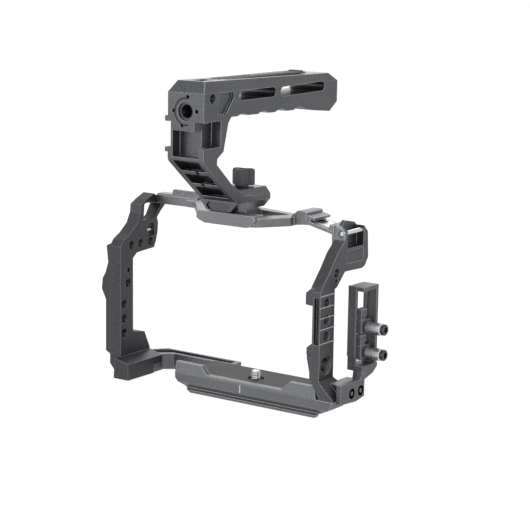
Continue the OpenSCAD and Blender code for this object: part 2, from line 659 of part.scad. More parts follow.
module catch_spring() color("#a9abad") difference() {
    foot = cage_h + catch_len / 3 - catch_collar_h - fit_gap;
    rod_z(cage_h - catch_deep, foot, handle_x, catch_y, catch_r + catch_collar - fit_gap);
    rod_z(cage_h - catch_deep - over, foot + over, handle_x, catch_y,
        catch_r + catch_collar - fit_gap - spring_wall);
}

// Top handle
foot_front = -19.3;
foot_wall = 4.4;
foot_len = 41.3;
foot_low = 0.8;
foot_side_low = 6.5;
foot_side_high = 10.2;
foot_high = 15;
foot_low_share = 0.667;
foot_high_share = 0.73;
groove_travel = 4;
groove_roof = 1.6;
block_y = 8.6;
block_w = 11;
block_len = 10;
block_h = 4.2;
block_lift = 0.8;
knob_screw_r = 2.9;
knob_collar_r = 5;
knob_lobes = 3;
knob_core_share = 0.55;
knob_lobe_share = 0.36;
head_low_share = 0.4076;
window_r = 3.3;
front_window_shares = [[-0.24, 0.88], [0.22, 0.88]];
back_window_shares = [[0.34, 0.875], [0.81, 0.885]];
finger_share = 0.727;
finger_r = 14;
finger_deep = 1.5;
finger_shares = [-0.12, 0.11, 0.31, 0.53];
front_hole_share = 0.7815;
bush_r = 6.35;
bush_flange = 1.2;
bush_len = 11;
pin_r = 1.5;
pin_deep = 4;
pin_places = [[1.5, 9.8], [-10, 0], [9, 0.5], [-3.3, -9.4]];
side_hole = [-0.825, 0.877];
side_hole_deep = 9;
back_hole_share = 0.873;
side_pocket_shares = [[-0.7, 0.915], [-0.42, 0.912], [-0.4, 0.875], [-0.575, 0.75], [-0.733, 0.764]];
side_pocket_deep = 2;
side_notch_shares = [[-1.1, 0.52], [-0.66, 0.52], [-0.66, 0.71], [-1.1, 0.71]];
side_notch_deep = 8;
grip_notch_deep = 2.5;
pocket_wall = 4;
pocket_deep = 7;
pocket_shares = [0.12, 0.64];
rib_t = 2.6;
rib_shares = [0.2, 0.31, 0.42];
leg_slot_len = 11;
leg_slot_w = 2.4;
leg_slot_share = 0.27;
strip_front_share = -0.35;
strip_back_share = 0.71;
strip_h = 2.6;
strip_w = 15;
strip_sunk = 1;
top_slot_shares = [[-0.82, -0.54], [-0.47, -0.38]];
top_slot_deep = 4;
handle_side_shares = [[-1, 0.918], [-0.895, 1], [0.92, 0.98], [1, 0.918], [1, 0.751], [0.907, 0.679],
    [0.717, 0.7], [0.57, 0.722], [-0.454, 0.73], [-0.514, 0.689], [-0.605, 0.4815], [-0.723, 0.437],
    [-0.7315, 0.3935], [-0.437, 0.234], [-0.165, 0.126], [0, 0.12], [0, 0.085], [-0.3386, 0.085],
    [-0.977, 0.4076], [-1, 0.43]];
handle_front_shares = [[-1, 0], [-1, 0.918], [-0.72, 1.01], [0.72, 1.01], [1, 0.918], [1, 0]];

function handle_pt(p) = [p[0] * (p[0] < 0 ? handle_front : handle_back), p[1] * handle_h];
function foot_w() = rail_w + 2 * foot_wall;
function foot_outline() = [
    [-foot_low_share * foot_w() / 2, foot_low], [-foot_w() / 2, foot_side_low],
        [-foot_w() / 2, foot_side_high],
    [-foot_high_share * foot_w() / 2, foot_high], [foot_high_share * foot_w() / 2, foot_high],
    [foot_w() / 2, foot_side_high], [foot_w() / 2, foot_side_low], [foot_low_share * foot_w() / 2, foot_low]];

module handle_body() color("#56585b") on_rail() difference() {
    union() {
        intersection() {
            plate_x(-handle_w / 2, handle_w, [for (p = handle_side_shares) handle_pt(p)]);
            plate_y(-handle_front - over, handle_front + handle_back + 2 * over,
                [for (p = handle_front_shares) [p[0] * handle_w / 2, p[1] * handle_h]]);
        }
        plate_y(foot_front, foot_len, foot_outline());
    }
    // channel for the rail and the groove that its catch pin runs in
    plate_y(foot_front - over, foot_len + 2 * over, rail_outline(run_gap, -over));
    hull() for (side = [-1, 1])
        rod_z(rail_h, rail_h + groove_roof + run_gap, 0, catch_y + side * (groove_travel + fit_gap),
            catch_r + fit_gap, $fn = 32);
    // guide of the pressure block and bore of the knob screw
    block([-block_w / 2 - fit_gap, block_y - block_len / 2 - fit_gap, rail_h],
        [block_w / 2 + fit_gap, block_y + block_len / 2 + fit_gap,
            rail_h + run_gap + block_h + block_lift + fit_gap]);
    rod_z(rail_h, foot_high + over, 0, block_y, knob_screw_r + fit_gap);
    // windows and finger grooves of the grip
    for (w = [front_window_shares, back_window_shares])
        slot_x(-handle_w, handle_w, handle_pt(w[0])[0], handle_pt(w[0])[1], handle_pt(w[1])[0],
            handle_pt(w[1])[1], window_r);
    for (y_share = finger_shares)
        rod_x(-handle_w, handle_w, y_share * handle_back, finger_share * handle_h + finger_deep - finger_r,
            finger_r);
    // threaded bush of the front mount and its locating pin holes
    rod_y(-handle_front - over, -handle_front + bush_len, 0, front_hole_share * handle_h, bush_r);
    for (p = pin_places)
        rod_y(-handle_front - over, -handle_front + pin_deep, p[0], front_hole_share * handle_h + p[1],
            pin_r);
    // tapped holes in the side and in the back end
    hole_x(handle_w / 2 - side_hole_deep, handle_w / 2, side_hole[0] * handle_front,
        side_hole[1] * handle_h, quarter_r);
    rod_y(handle_back - bush_len, handle_back + over, 0, back_hole_share * handle_h, quarter_r);
    // pocket in the side of the head, and notches under it on both sides
    plate_x(handle_w / 2 - side_pocket_deep, 2 * side_pocket_deep,
        [for (p = side_pocket_shares) handle_pt(p)]);
    plate_x(handle_w / 2 - side_notch_deep, 2 * side_notch_deep, [for (p = side_notch_shares) handle_pt(p)]);
    plate_x(-handle_w / 2 - grip_notch_deep, 2 * grip_notch_deep, [for (p = side_notch_shares) handle_pt(p)]);
    // pocket in the front of the leg, crossed by ribs
    difference() {
        leg_cut(-pocket_deep, over, handle_w - 2 * pocket_wall);
        for (z_share = rib_shares)
            block([-handle_w, -handle_front - over, z_share * handle_h],
                [handle_w, 0, z_share * handle_h + rib_t]);
    }
    hull() for (side = [-1, 1]) translate([side * leg_slot_w, 0, 0])
        leg_bore(leg_slot_share + side * leg_slot_len / handle_h / 2, leg_slot_w / 2);
    // slots in the top of the head, and the seat of the grip strip
    for (w = top_slot_shares)
        block([-strip_w / 3, w[0] * handle_front, handle_h - top_slot_deep],
            [strip_w / 3, w[1] * handle_front, handle_h + over]);
    strip_box(handle_h - strip_sunk, handle_h + 2 * strip_h);
}

// A sloped cut along the front face of the leg, from deep behind that face to past it
module leg_cut(y0, y1, w) {
    high = handle_pt([-0.977, head_low_share]);
    low = handle_pt([-0.3386, 0.085]);
    intersection() {
        plate_x(-w / 2, w, [[high[0] - 2 * y1, high[1] - y1], [low[0] - 2 * y1, low[1]],
            [low[0] - y0 - y1, low[1] + over],
            [high[0] - y0, high[1]], [high[0] - y0, pocket_shares[1] * handle_h],
                [-handle_front - y1, pocket_shares[1] * handle_h]]);
        plate_y(-handle_front - y1, handle_front - y0,
            [[-w / 2, pocket_shares[0] * handle_h], [w / 2, pocket_shares[0] * handle_h],
            [w / 2, handle_h], [-w / 2, handle_h]]);
    }
}
module leg_bore(z_share, r) rod_y(-handle_front, 0, 0, z_share * handle_h, r, $fn = 32);

module strip_box(z0, z1)
    block([-strip_w / 2, strip_front_share * handle_front, z0],
        [strip_w / 2, strip_back_share * handle_back, z1]);

module handle_top_strip() color("#47494c") on_rail() difference() {
    strip_box(handle_h - strip_sunk, handle_h + strip_h);
    // bevelled ends
    for (y = [strip_front_share * handle_front, strip_back_share * handle_back])
        translate([0, y, handle_h + strip_h]) rotate([45, 0, 0])
            cube([2 * strip_w, strip_h, strip_h], center = true);
}

module mount_bush() color("#9b9da0") on_rail() difference() {
    rod_y(-handle_front + bush_flange, -handle_front + bush_len, 0, front_hole_share * handle_h, bush_r);
    rod_y(-handle_front - over, 0, 0, front_hole_share * handle_h, three_eighth_r);
}

module wing_knob() color("#2c2d30") on_rail() {
    rod_z(rail_h + run_gap + fit_gap, foot_high + knob_h / 2, 0, block_y, knob_screw_r);
    rod_z(foot_high + fit_gap, foot_high + over, 0, block_y, knob_collar_r);
    translate([0, block_y, foot_high + over]) {
        cylinder(h = knob_h - over, r = knob_core_share * knob_r);
        for (i = [0 : knob_lobes - 1]) rotate([0, 0, 360 / knob_lobes * i]) {
            translate([(1 - knob_lobe_share) * knob_r, 0, 0])
                cylinder(h = knob_h - over, r = knob_lobe_share * knob_r);
            block([0, -knob_lobe_share * knob_r, 0],
                [(1 - knob_lobe_share) * knob_r, knob_lobe_share * knob_r,
                knob_h - over]);
        }
    }
}

module pressure_block() color("#b8a878") on_rail() difference() {
    block([-block_w / 2, block_y - block_len / 2, rail_h + fit_gap / 2],
        [block_w / 2, block_y + block_len / 2, rail_h + block_h]);
    rod_z(0, foot_high, 0, block_y, knob_screw_r + fit_gap / 2);
}

// Cable clamp
clamp_gap = 1.2;
clamp_x0 = port_x + clamp_gap;
clamp_front_reach = 9.3;
clamp_back_reach = 13.3;
clamp_y = 11;
clamp_plate = 3;
clamp_floor = 18.5;
clamp_floor_t = 4;
guide_x = 3.9;
guide_t = 2;
guide_deep = 1.5;
neck_x = 6.7;
neck_w = 7.6;
lug_gap = 0.1;
lug_plate = 4;
lug_screw_r = 3.6;
lug_screw_head = 3.2;
lug_screw_shank = 9;
lug_screw_shank_r = 2;
lug_screw_hex_r = 1.8;
lug_screw_places = [[-2.3, 2.7], [9, 2.7]];
lug_outline_shares = [[-0.8, -0.3], [-0.8, 1.2], [0, 1.16], [0.6, 1.2], [0.75, 1.6], [1, 1.6], [1, -0.24],
    [0.27, -0.45]];
neck_shares = [[-0.07, 0.03], [0.16, 0.03], [0.7, 0.3], [1.05, 0.95], [1, 1], [0, 1], [0, 0.9]];
carriage_top = [50.4, 32.7];
carriage_h = 10.4;
carriage_x0 = 6.1;
carriage_t = 5.7;
jaw_x1 = 16.2;
jaw_rise = 3.6;
jaw_t = 3.4;
jaw_web = 3.4;
lock_t = 2.1;
thumb_hole_r = 2;
thumb_head_h = 3.6;
thumb_gap = 0.4;
thumb_hex_r = 2;
thumb_hex_deep = 2.4;
thumb_grooves = 12;
thumb_groove_r = 0.5;
thumb_drop = 0.9;
thumb_tip_share = 0.9;

function lug_x() = port_x + lug_right_share * foot_flare + lug_gap;
function clamp_back() = clamp_y + clamp_w;
function guide_x0() = clamp_x0 + guide_x;
function carriage_y0() = clamp_y + clamp_wall + run_gap;
function carriage_y1() = clamp_back() - clamp_wall - run_gap;
function thumb_y() = (carriage_y0() + carriage_y1()) / 2;
function thumb_z(i) = carriage_top[i] - carriage_h / 2 - thumb_drop;

module cable_clamp_frame() color("#4a4c4f") difference() {
    union() {
        // bolted lug, and the neck that rises from it
        plate_x(lug_x(), lug_plate,
            [for (p = lug_outline_shares) [p[0] * (p[0] < 0 ? front_y : lug_back), p[1] * lug_top]]);
        plate_x(clamp_x0 + neck_x, neck_w,
            [for (p = neck_shares) [clamp_y + p[0] * clamp_w, lug_top + p[1] * (clamp_floor - lug_top)]]);
        // floor, top and the two side plates
        block([clamp_x0, clamp_y, clamp_floor - clamp_floor_t],
            [clamp_x0 + clamp_back_reach, clamp_back(), clamp_floor]);
        block([clamp_x0, clamp_y, clamp_top - clamp_plate],
            [clamp_x0 + clamp_back_reach, clamp_back(), clamp_top]);
        block([clamp_x0, clamp_y, clamp_floor - clamp_floor_t],
            [clamp_x0 + clamp_front_reach, clamp_y + clamp_wall, clamp_top]);
        block([clamp_x0, clamp_back() - clamp_wall, clamp_floor - clamp_floor_t],
            [clamp_x0 + clamp_back_reach, clamp_back(), clamp_top]);
        // guide ribs inside the side plates
        for (y = [clamp_y + clamp_wall, clamp_back() - clamp_wall - guide_deep])
            block([guide_x0(), y, clamp_floor],
                [guide_x0() + guide_t, y + guide_deep, clamp_top - clamp_plate]);
    }
    for (p = lug_screw_places) translate([lug_x() + lug_plate, p[0], p[1]]) rotate([0, -90, 0]) lug_seat();
}

module lug_seat() {
    translate([0, 0, -over]) cylinder(h = lug_screw_head + over, r = lug_screw_r + fit_gap);
    cylinder(h = lug_screw_head + lug_screw_shank + fit_gap, r = lug_screw_shank_r);
}

module cable_clamp_screws() color("#d6d7d9")
    for (p = lug_screw_places)
        translate([lug_x() + lug_plate, p[0], p[1]]) rotate([0, -90, 0]) difference() {
            union() {
                cylinder(h = lug_screw_head, r = lug_screw_r);
                translate([0, 0, lug_screw_head]) cylinder(h = lug_screw_shank, r = lug_screw_shank_r);
            }
            translate([0, 0, -over]) cylinder(h = lug_screw_head, r = lug_screw_hex_r, $fn = 6);
        }

// A carriage that slides on the guide ribs: i is 0 for the upper one and 1 for the lower one
module carriage(i) color("#3d3f42") difference() {
    top = carriage_top[i];
    x0 = clamp_x0 + carriage_x0;
    union() {
        block([x0, carriage_y0(), top - carriage_h], [x0 + carriage_t, carriage_y1(), top]);
        // web that carries the upper jaw over the cable
        block([x0, carriage_y0(), top - carriage_h],
            [x0 + jaw_web, carriage_y0() + jaw_web, top + jaw_rise + jaw_t]);
        block([x0, carriage_y1() - jaw_web, top - carriage_h],
            [x0 + jaw_web, carriage_y1(), top + jaw_rise + jaw_t]);
        block([x0, carriage_y0(), top + jaw_rise],
            [clamp_x0 + jaw_x1, carriage_y1(), top + jaw_rise + jaw_t]);
    }
    rod_x(x0 - over, x0 + carriage_t + over, thumb_y(), thumb_z(i), thumb_hole_r + fit_gap);
}

// The plate behind the guide ribs that the thumb screw draws up
module lock_plate(i) color("#a2a4a7") difference() {
    x1 = guide_x0() - fit_gap / 2;
    block([x1 - lock_t, carriage_y0(), carriage_top[i] - carriage_h], [x1, carriage_y1(), carriage_top[i]]);
    rod_x(x1 - lock_t - over, x1 + over, thumb_y(), thumb_z(i), thumb_hole_r + fit_gap / 2);
}

module thumb_screw(i) color("#b4b6b8") translate([0, thumb_y(), thumb_z(i)]) {
    face = clamp_x0 + carriage_x0 + carriage_t + thumb_gap;
    difference() {
        union() {
            rod_x(guide_x0() - lock_t, face, 0, 0, thumb_hole_r);
            rod_x(face, face + thumb_len - thumb_head_h, 0, 0, thumb_r);
            rod_x(face + thumb_len - thumb_head_h, face + thumb_len, 0, 0, thumb_r * thumb_tip_share);
        }
        rod_x(face + thumb_len - thumb_hex_deep, face + thumb_len + over, 0, 0, thumb_hex_r, $fn = 6);
        for (a = [0 : thumb_grooves - 1]) rotate([360 / thumb_grooves * a, 0, 0])
            rod_x(face + over, face + thumb_len - thumb_head_h - over, 0, thumb_r, thumb_groove_r, $fn = 16);
    }
}

module upper_carriage() carriage(0);
module lower_carriage() carriage(1);
module upper_lock_plate() lock_plate(0);
module lower_lock_plate() lock_plate(1);
module upper_thumb_screw() thumb_screw(0);
module lower_thumb_screw() thumb_screw(1);

base_plate();
base_pad();
camera_screw();
screw_retainer();
port_column();
port_insert();
port_strap_pin();
top_bar();
rear_bar();
shoe_spring();
handle_rail();
rail_screws();
catch_pin();
catch_spring();
grip_plate();
grip_pad();
grip_strap_pin();
lower_arm();
frame_screws();
insert_screws();
handle_body();
handle_top_strip();
mount_bush();
wing_knob();
pressure_block();
cable_clamp_frame();
cable_clamp_screws();
upper_carriage();
upper_lock_plate();
upper_thumb_screw();
lower_carriage();
lower_lock_plate();
lower_thumb_screw();
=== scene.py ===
import bpy
import bmesh
import json
import math
import numpy as np
from mathutils import Matrix, Vector


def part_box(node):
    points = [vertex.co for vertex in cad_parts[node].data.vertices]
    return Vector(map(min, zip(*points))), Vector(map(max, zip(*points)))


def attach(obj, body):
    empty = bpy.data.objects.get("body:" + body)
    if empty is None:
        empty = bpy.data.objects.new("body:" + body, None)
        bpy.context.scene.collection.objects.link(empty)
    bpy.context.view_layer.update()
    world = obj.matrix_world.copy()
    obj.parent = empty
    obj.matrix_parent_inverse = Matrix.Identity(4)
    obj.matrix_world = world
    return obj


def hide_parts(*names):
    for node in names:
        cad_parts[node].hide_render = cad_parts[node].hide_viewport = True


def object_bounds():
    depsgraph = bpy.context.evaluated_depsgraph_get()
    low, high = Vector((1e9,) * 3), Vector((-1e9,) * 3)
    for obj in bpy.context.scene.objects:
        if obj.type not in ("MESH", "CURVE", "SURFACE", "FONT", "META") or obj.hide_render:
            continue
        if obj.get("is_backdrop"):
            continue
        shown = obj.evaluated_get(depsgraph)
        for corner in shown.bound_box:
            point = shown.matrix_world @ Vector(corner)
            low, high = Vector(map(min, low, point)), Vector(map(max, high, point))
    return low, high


bl_info = {
    "name": "Camera Cage Finishes",
    "version": (1, 0, 0),
    "blender": (4, 5, 0),
    "location": "View3D > Sidebar > Cage",
    "description": "Turned parts, threads, finishes and studio for a camera cage with a top handle",
    "category": "Object",
}

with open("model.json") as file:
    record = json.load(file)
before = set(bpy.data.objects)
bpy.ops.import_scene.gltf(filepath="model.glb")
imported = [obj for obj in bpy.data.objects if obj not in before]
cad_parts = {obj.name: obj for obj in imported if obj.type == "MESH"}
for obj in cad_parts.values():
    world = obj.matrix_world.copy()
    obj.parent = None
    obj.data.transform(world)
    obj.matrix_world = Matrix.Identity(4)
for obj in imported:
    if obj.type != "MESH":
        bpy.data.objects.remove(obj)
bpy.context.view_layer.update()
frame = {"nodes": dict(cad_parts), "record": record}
MM = 0.001

# View of the photograph, from its vanishing directions, in metres; lens and sensor in mm
VIEW_YAW = math.radians(34.70)
VIEW_PITCH = math.radians(10.82)
VIEW_ROLL = math.radians(1.00)
VIEW_PLACE = (0.6665, -0.9537, 0.3035)
VIEW_LENS = 115.7
SENSOR = 36.0
CLIP_NEAR, CLIP_FAR = 0.05, 20

# Lamps: name, place and size in metres, power in watts; all look at one point
LAMP_TARGET = (-0.02, 0.0, 0.09)
LAMPS = (
    ("left_front_box", (-0.9, -1.3, 0.25), 1.1, 6.5),
    ("right_front_box", (1.25, -0.95, 0.4), 1.0, 4.5),
    ("back_top_box", (-0.5, 1.1, 0.75), 1.0, 4.0),
    ("overhead_box", (0.1, -0.2, 1.3), 0.9, 5.0),
)

# Floor and surround
WHITE = (1, 1, 1, 1)
FLOOR_SPAN = 3.0
FLOOR_COLOUR = (0.86, 0.86, 0.86)
FLOOR_GLOW = 1.12
FLOOR_WHITENESS = 0.86
SURROUND_LIGHT = 0.47

# Finishes
BRASS = (0.62, 0.47, 0.2)
WHITE_PAINT = (0.85, 0.85, 0.85)
NOISE_MEAN = 0.5
BEVEL_SAMPLES = 6
EDGE_GAIN = 6.0
TOOL_LINE_STRETCH = (1.0, 1.0, 12.0)

# Meshes: distances in metres
MERGE_WITHIN = 1e-7
SLIVER_UNDER = 1e-8
SHARP_ABOVE = math.radians(32)

# Numbers of the axes that a plate lies across
X, Y, Z = 0, 1, 2

# Places and sizes of the pieces, in mm. A box is its name, its two corners and its bevel, and a
# plate is its name, outline, axis, start and end.
CAGE_TOP = 118.5
QUARTER_INCH_R = 3.175

# Tapped holes, with the body of each group by the first word of its holes' names
STEPS_A_TURN = 6
COARSE_ABOVE_R = 4.0
COARSE_PITCH = 1.25
CREST_BEHIND, WALL_BEHIND = 0.05, 0.15
GRIP_FACE_X = -113
GRIP_HOLE_LENGTH = 9.5
GRIP_HOLES = ((-5.6, 83.2), (4.8, 83.2), (16.4, 83.2), (-9.5, 55.7), (-14, 18.8), (-14, 29.75),
              (-14, 40.7))
HOLE_BODIES = {"port": "cage", "grip": "cage", "tripod": "cage", "handle": "handle"}

# Thumb screws
THUMB_R = 4.35
THUMB_ROOT_X = 77.5
THUMB_SOCKET = 2.0

# Cable clamp, with the heights of a carriage's boxes from its top. Where two of these overlap, no
# two of their faces lie in one plane.
CLAMP_BOXES = (
    ("floor", (67.76, 12.26, 14.56), (80.24, 30.14, 18.44), 0.3),
    ("roof", (67.76, 11.06, 70.5), (80.24, 30.14, 73.44), 0.3),
    ("front_foot", (67.7, 12.2, 14.5), (74.3, 13.44, 24.5), 0.3),
    ("back_flange", (69.9, 27.7, 14.62), (80.3, 30.08, 73.38), 0.3),
    ("front_guide", (70.6, 13.4, 18.4), (72.6, 15, 70.6), 0.2),
    ("back_guide", (70.6, 26.2, 18.4), (72.6, 27.8, 70.6), 0.2),
)
CLAMP_PLATES = (
    ("front_flange", ((67.7, 24.4), (74.3, 24.4), (74.3, 73.5), (67.7, 73.5)), Y, 11, 13.5),
    ("neck", ((9.7, 9.3), (14.1, 9.3), (24.4, 11.9), (30.2, 16), (30.2, 18.5), (11, 18.5),
              (11, 17.6)), X, 73.4, 81),
    ("lug_plate", ((-16, -2.7), (-16, 10.8), (0, 10.4), (8.4, 10.8), (10.5, 14.4), (14, 14.4),
                   (14, -2.2), (3.8, -4)), X, 77.04, 81.04),
)
CARRIAGE_TOPS = {"upper": 50.0, "lower": 31.9}
TOOTH_PITCH = 1.7
CARRIAGE_BOXES = (
    ("carriage", (72.8, 13.8, -9.7), (77.1, 27.4, 0), 0.4),
    ("jaw_neck", (73.6, 14.6, -0.5), (76.3, 20.4, 2.4), 0.2),
    ("jaw", (72.8, 13.8, 1.9), (77.1, 21.2, 7.3), 0.5),
    *(("tooth", (72.86, front, 7.1), (77.04, front + 1, 7.8), 0.15)
      for front in 14.4 + TOOTH_PITCH * np.arange(4)),
)

# Handle: prongs are placed from its middle plane, and they and the mount from the cage's top
HANDLE_X = -20.5
PRONG_BOXES = [("prong", (left, -56.8, foot), (right, -51.5, head), 0.4)
               for left, right in ((-17.6, -14.2), (14.2, 14.9))
               for foot, head in ((44.0, 47.4), (64.6, 68.4))]
MOUNT_HEIGHT = 71.9
ARC_INNER, ARC_OUTER = 8.4, 9.6
ARC_FRONT, ARC_BACK = -57.04, -56.9
ARC_FROM, ARC_TO = math.radians(75), math.radians(285)
STRIP_HALF = 5.0
STRIP_RISE = 1.1
STRIP_BARE_SHARE = 0.25
STRIP_END_LENGTH, STRIP_END_RISE = 4, 0.7
RIB_HALF, RIB_LENGTH, RIB_RISE = 4.2, 3.2, 0.4
FIRST_RIB, RIB_PITCH, RIB_COUNT = 10, 5.6, 8

# Lapped end of the top bar, and the profile of its screw hole: distance behind its front, radius
BAR_END = ((54.6, 102.8), (54.6, 101), (56.4, 97.9), (60.4, 97.6), (63.6, 98.6), (65.4, 101.2),
           (65.4, 108.5), (63.6, 111.6), (60.6, 113.4), (57.2, 114.6), (52.4, 113.6), (51.8, 110.6),
           (54.6, 107.4))
BAR_END_FRONT, BAR_END_BACK = 8.6, 12.3
HOLE_X, HOLE_Z = 62.5, 108.6
HOLE_PROFILE = ((0.25, 0), (0.25, 1.3), (0.05, 1.7), (-0.25, 1.9), (-0.05, 2.3), (0.3, 2.3))

# Wing knob
KNOB_Y = 8.6
KNOB_FLANGE_Z, KNOB_FLANGE_R = 133.6, 4.6
KNOB_BASE_Z = 134.5
KNOB_SHANK_R = 2.9
LOBE_REACH, LOBE_R, KNOB_CORE_R = 5.76, 3.24, 4.95

# Painted marks
LINE_MIDDLE = (0.4, 0, -3.95)
LINE_HALF_HEIGHT = 2.7
LINE_FRONT, LINE_BACK = -19.9, -19.72
LINE_SQUARENESS = 0.35
MARK_BOXES = [("mark", (65.25, -19.9, z + 0.08), (65.42, 0.3, z + 0.42), 0.03)
              for z in (69.9, 62, 54.8, 47, 37.2)]


class Socket:
    """A shader value that adds a Math node for each operator used on it."""

    def __init__(self, shader, socket):
        self.shader = shader
        self.socket = socket

    def math(self, operation, first, second, clamp=False):
        """A Math node of two values, in this order."""
        settings = {"operation": operation, "use_clamp": clamp}
        return self.shader.add("ShaderNodeMath", settings, {0: first, 1: second})

    def __add__(self, other):
        return self.math("ADD", self, other)

    def __radd__(self, other):
        return self.math("ADD", other, self)

    def __sub__(self, other):
        return self.math("SUBTRACT", self, other)

    def __rsub__(self, other):
        return self.math("SUBTRACT", other, self)

    def __mul__(self, other):
        return self.math("MULTIPLY", self, other)

    def __rmul__(self, other):
        return self.math("MULTIPLY", other, self)

    def clamped(self):
        """This value held between 0 and 1."""
        return self.math("ADD", self, 0.0, clamp=True)

    def swing(self, amount):
        """This noise moved to swing about zero, times an amount."""
        return (self - NOISE_MEAN) * amount

    def spread(self, low, high):
        """This value, from 0 to 1, carried over to the range from low to high."""
        return self * (high - low) + low


class Shader:
    """The nodes of a material or of the surround, all added by a single method."""

    def __init__(self, owner):
        self.owner = owner
        owner.use_nodes = True
        self.tree = owner.node_tree
        self.tree.nodes.clear()

    def add(self, kind, settings=None, inputs=None, output=0):
        """Adds a node, sets it up, fills its inputs and returns an output, if it has one."""
        node = self.tree.nodes.new(kind)
        for key, value in (settings or {}).items():
            setattr(node, key, value)
        for key, value in (inputs or {}).items():
            if isinstance(value, Socket):
                self.tree.links.new(value.socket, node.inputs[key])
            else:
                node.inputs[key].default_value = value
        return Socket(self, node.outputs[output]) if len(node.outputs) else None

    def place(self):
        """Object coordinates, in metres."""
        return self.add("ShaderNodeTexCoord", output="Object")

    def noise(self, cycles, detail, stretch=(1.0, 1.0, 1.0)):
        """Noise with this many cycles a metre, stretched along the axes."""
        where = self.add("ShaderNodeMapping", inputs={"Vector": self.place(), "Scale": stretch})
        inputs = {"Vector": where, "Scale": cycles, "Detail": detail}
        return self.add("ShaderNodeTexNoise", inputs=inputs)

    def mix(self, factor, first, second):
        """A colour between two colours, through the Mix node's colour sockets 6, 7 and output 2."""
        inputs = {0: factor, 6: first, 7: second}
        return self.add("ShaderNodeMix", {"data_type": "RGBA"}, inputs, output=2)

    def toned(self, colour, pattern, edge, dark, light, worn_and_lit):
        """A colour that goes from dark to light with a pattern, and to a paler tone along the
        edges: wear, and a painted highlight where edges catch the light.
        """
        tone = self.mix(pattern.clamped(), rgba(colour, dark), rgba(colour, light))
        # paler edge tone: wear, and painted edge highlight
        return self.mix(edge.clamped(), tone, rgba(colour, worn_and_lit))

    def edge(self, radius):
        """The rounded normal near edges, and a mask that is 1 on the edges."""
        rounded = self.add("ShaderNodeBevel", {"samples": BEVEL_SAMPLES}, {"Radius": radius})
        flat = self.add("ShaderNodeNewGeometry", output="Normal")
        settings = {"operation": "DOT_PRODUCT"}
        along = self.add("ShaderNodeVectorMath", settings, {0: rounded, 1: flat}, output="Value")
        return rounded, ((1 - along) * EDGE_GAIN).clamped()

    def bump(self, height, strength, depth, normal):
        """A normal tilted by a pattern of heights."""
        inputs = {"Height": height, "Strength": strength, "Distance": depth, "Normal": normal}
        return self.add("ShaderNodeBump", inputs=inputs)

    def sees_background(self):
        """1 on camera, glossy and transmission rays, which see the white background itself."""
        camera, glossy, through = (self.add("ShaderNodeLightPath", output="Is %s Ray" % kind)
                                   for kind in ("Camera", "Glossy", "Transmission"))
        return (camera + glossy + through).clamped()

    def close(self, surface, kind="ShaderNodeOutputMaterial"):
        """Ends the nodes in this surface and returns the material or surround."""
        self.add(kind, inputs={"Surface": surface})
        return self.owner

    def finish(self, colour, roughness, metallic, normal=None):
        """Ends a material in one principled surface."""
        inputs = {"Base Color": colour, "Roughness": roughness, "Metallic": metallic}
        if normal is not None:
            inputs["Normal"] = normal
        return self.close(self.add("ShaderNodeBsdfPrincipled", inputs=inputs))


def rgba(colour, factor=1.0):
    """A colour with full alpha, made lighter or darker by a factor."""
    return (*(min(1.0, c * factor) for c in colour[:3]), 1.0)


def finish_of(name):
    """A finish made earlier."""
    return bpy.data.materials[name]


def anodised(name, colour, roughness, metallic=0.85, wear_and_highlight=1.0):
    """Blasted and anodised aluminium: two sizes of speckle, cloudy tone, and paler edges, worn and
    lightened further as a painted edge highlight.
    """
    s = Shader(bpy.data.materials.new(name))
    rounded, edge = s.edge(radius=0.7 * MM)
    fine = s.noise(cycles=2600.0, detail=3.0)
    coarse = s.noise(cycles=950.0, detail=2.0)
    cloud = s.noise(cycles=24.0, detail=3.0)
    rub = s.noise(cycles=240.0, detail=4.0)
    speckle = coarse.swing(1.5) + fine.swing(0.7)
    pattern = speckle + cloud.swing(0.5) + NOISE_MEAN
    # edge mask: real wear, and a painted highlight of the light that the bevels catch
    worn_and_lit = (edge * rub.spread(0.5, 1.0) * wear_and_highlight).clamped()
    tone = s.toned(colour, pattern, worn_and_lit, dark=0.62, light=1.42, worn_and_lit=4.8)
    sparkle, polish = 0.1, 0.12
    rough = roughness + speckle * sparkle + cloud.swing(0.1) - worn_and_lit * polish
    grain = s.bump(fine, strength=0.25, depth=0.05 * MM, normal=rounded)
    return s.finish(tone, rough, metallic, grain)


def rubber(name, colour, dimple=0.5):
    """Moulded rubber: matt, with fine dimples, a dusty uneven tone, and paler raised edges."""
    s = Shader(bpy.data.materials.new(name))
    rounded, edge = s.edge(radius=0.4 * MM)
    pebble = s.add("ShaderNodeTexVoronoi", inputs={"Vector": s.place(), "Scale": 1100.0})
    dust = s.noise(cycles=60.0, detail=4.0)
    tone = s.toned(colour, dust * 0.8, edge * 0.4, dark=0.8, light=1.3, worn_and_lit=1.8)
    grain = s.bump(pebble, strength=dimple, depth=0.08 * MM, normal=rounded)
    return s.finish(tone, roughness=0.72 + dust.swing(0.2), metallic=0.0, normal=grain)


def steel(name, colour, roughness):
    """Turned stainless steel: fine tool lines across one axis and faint smears."""
    s = Shader(bpy.data.materials.new(name))
    rounded, edge = s.edge(radius=0.2 * MM)
    lines = s.noise(cycles=700.0, detail=2.0, stretch=TOOL_LINE_STRETCH)
    smear = s.noise(cycles=90.0, detail=3.0)
    pattern = lines * 0.6 + smear * 0.4
    tone = s.toned(colour, pattern, edge * 0.6, dark=0.72, light=1.12, worn_and_lit=1.25)
    grain = s.bump(lines, strength=0.15, depth=0.03 * MM, normal=rounded)
    return s.finish(tone, roughness + smear.swing(0.2), metallic=1.0, normal=grain)


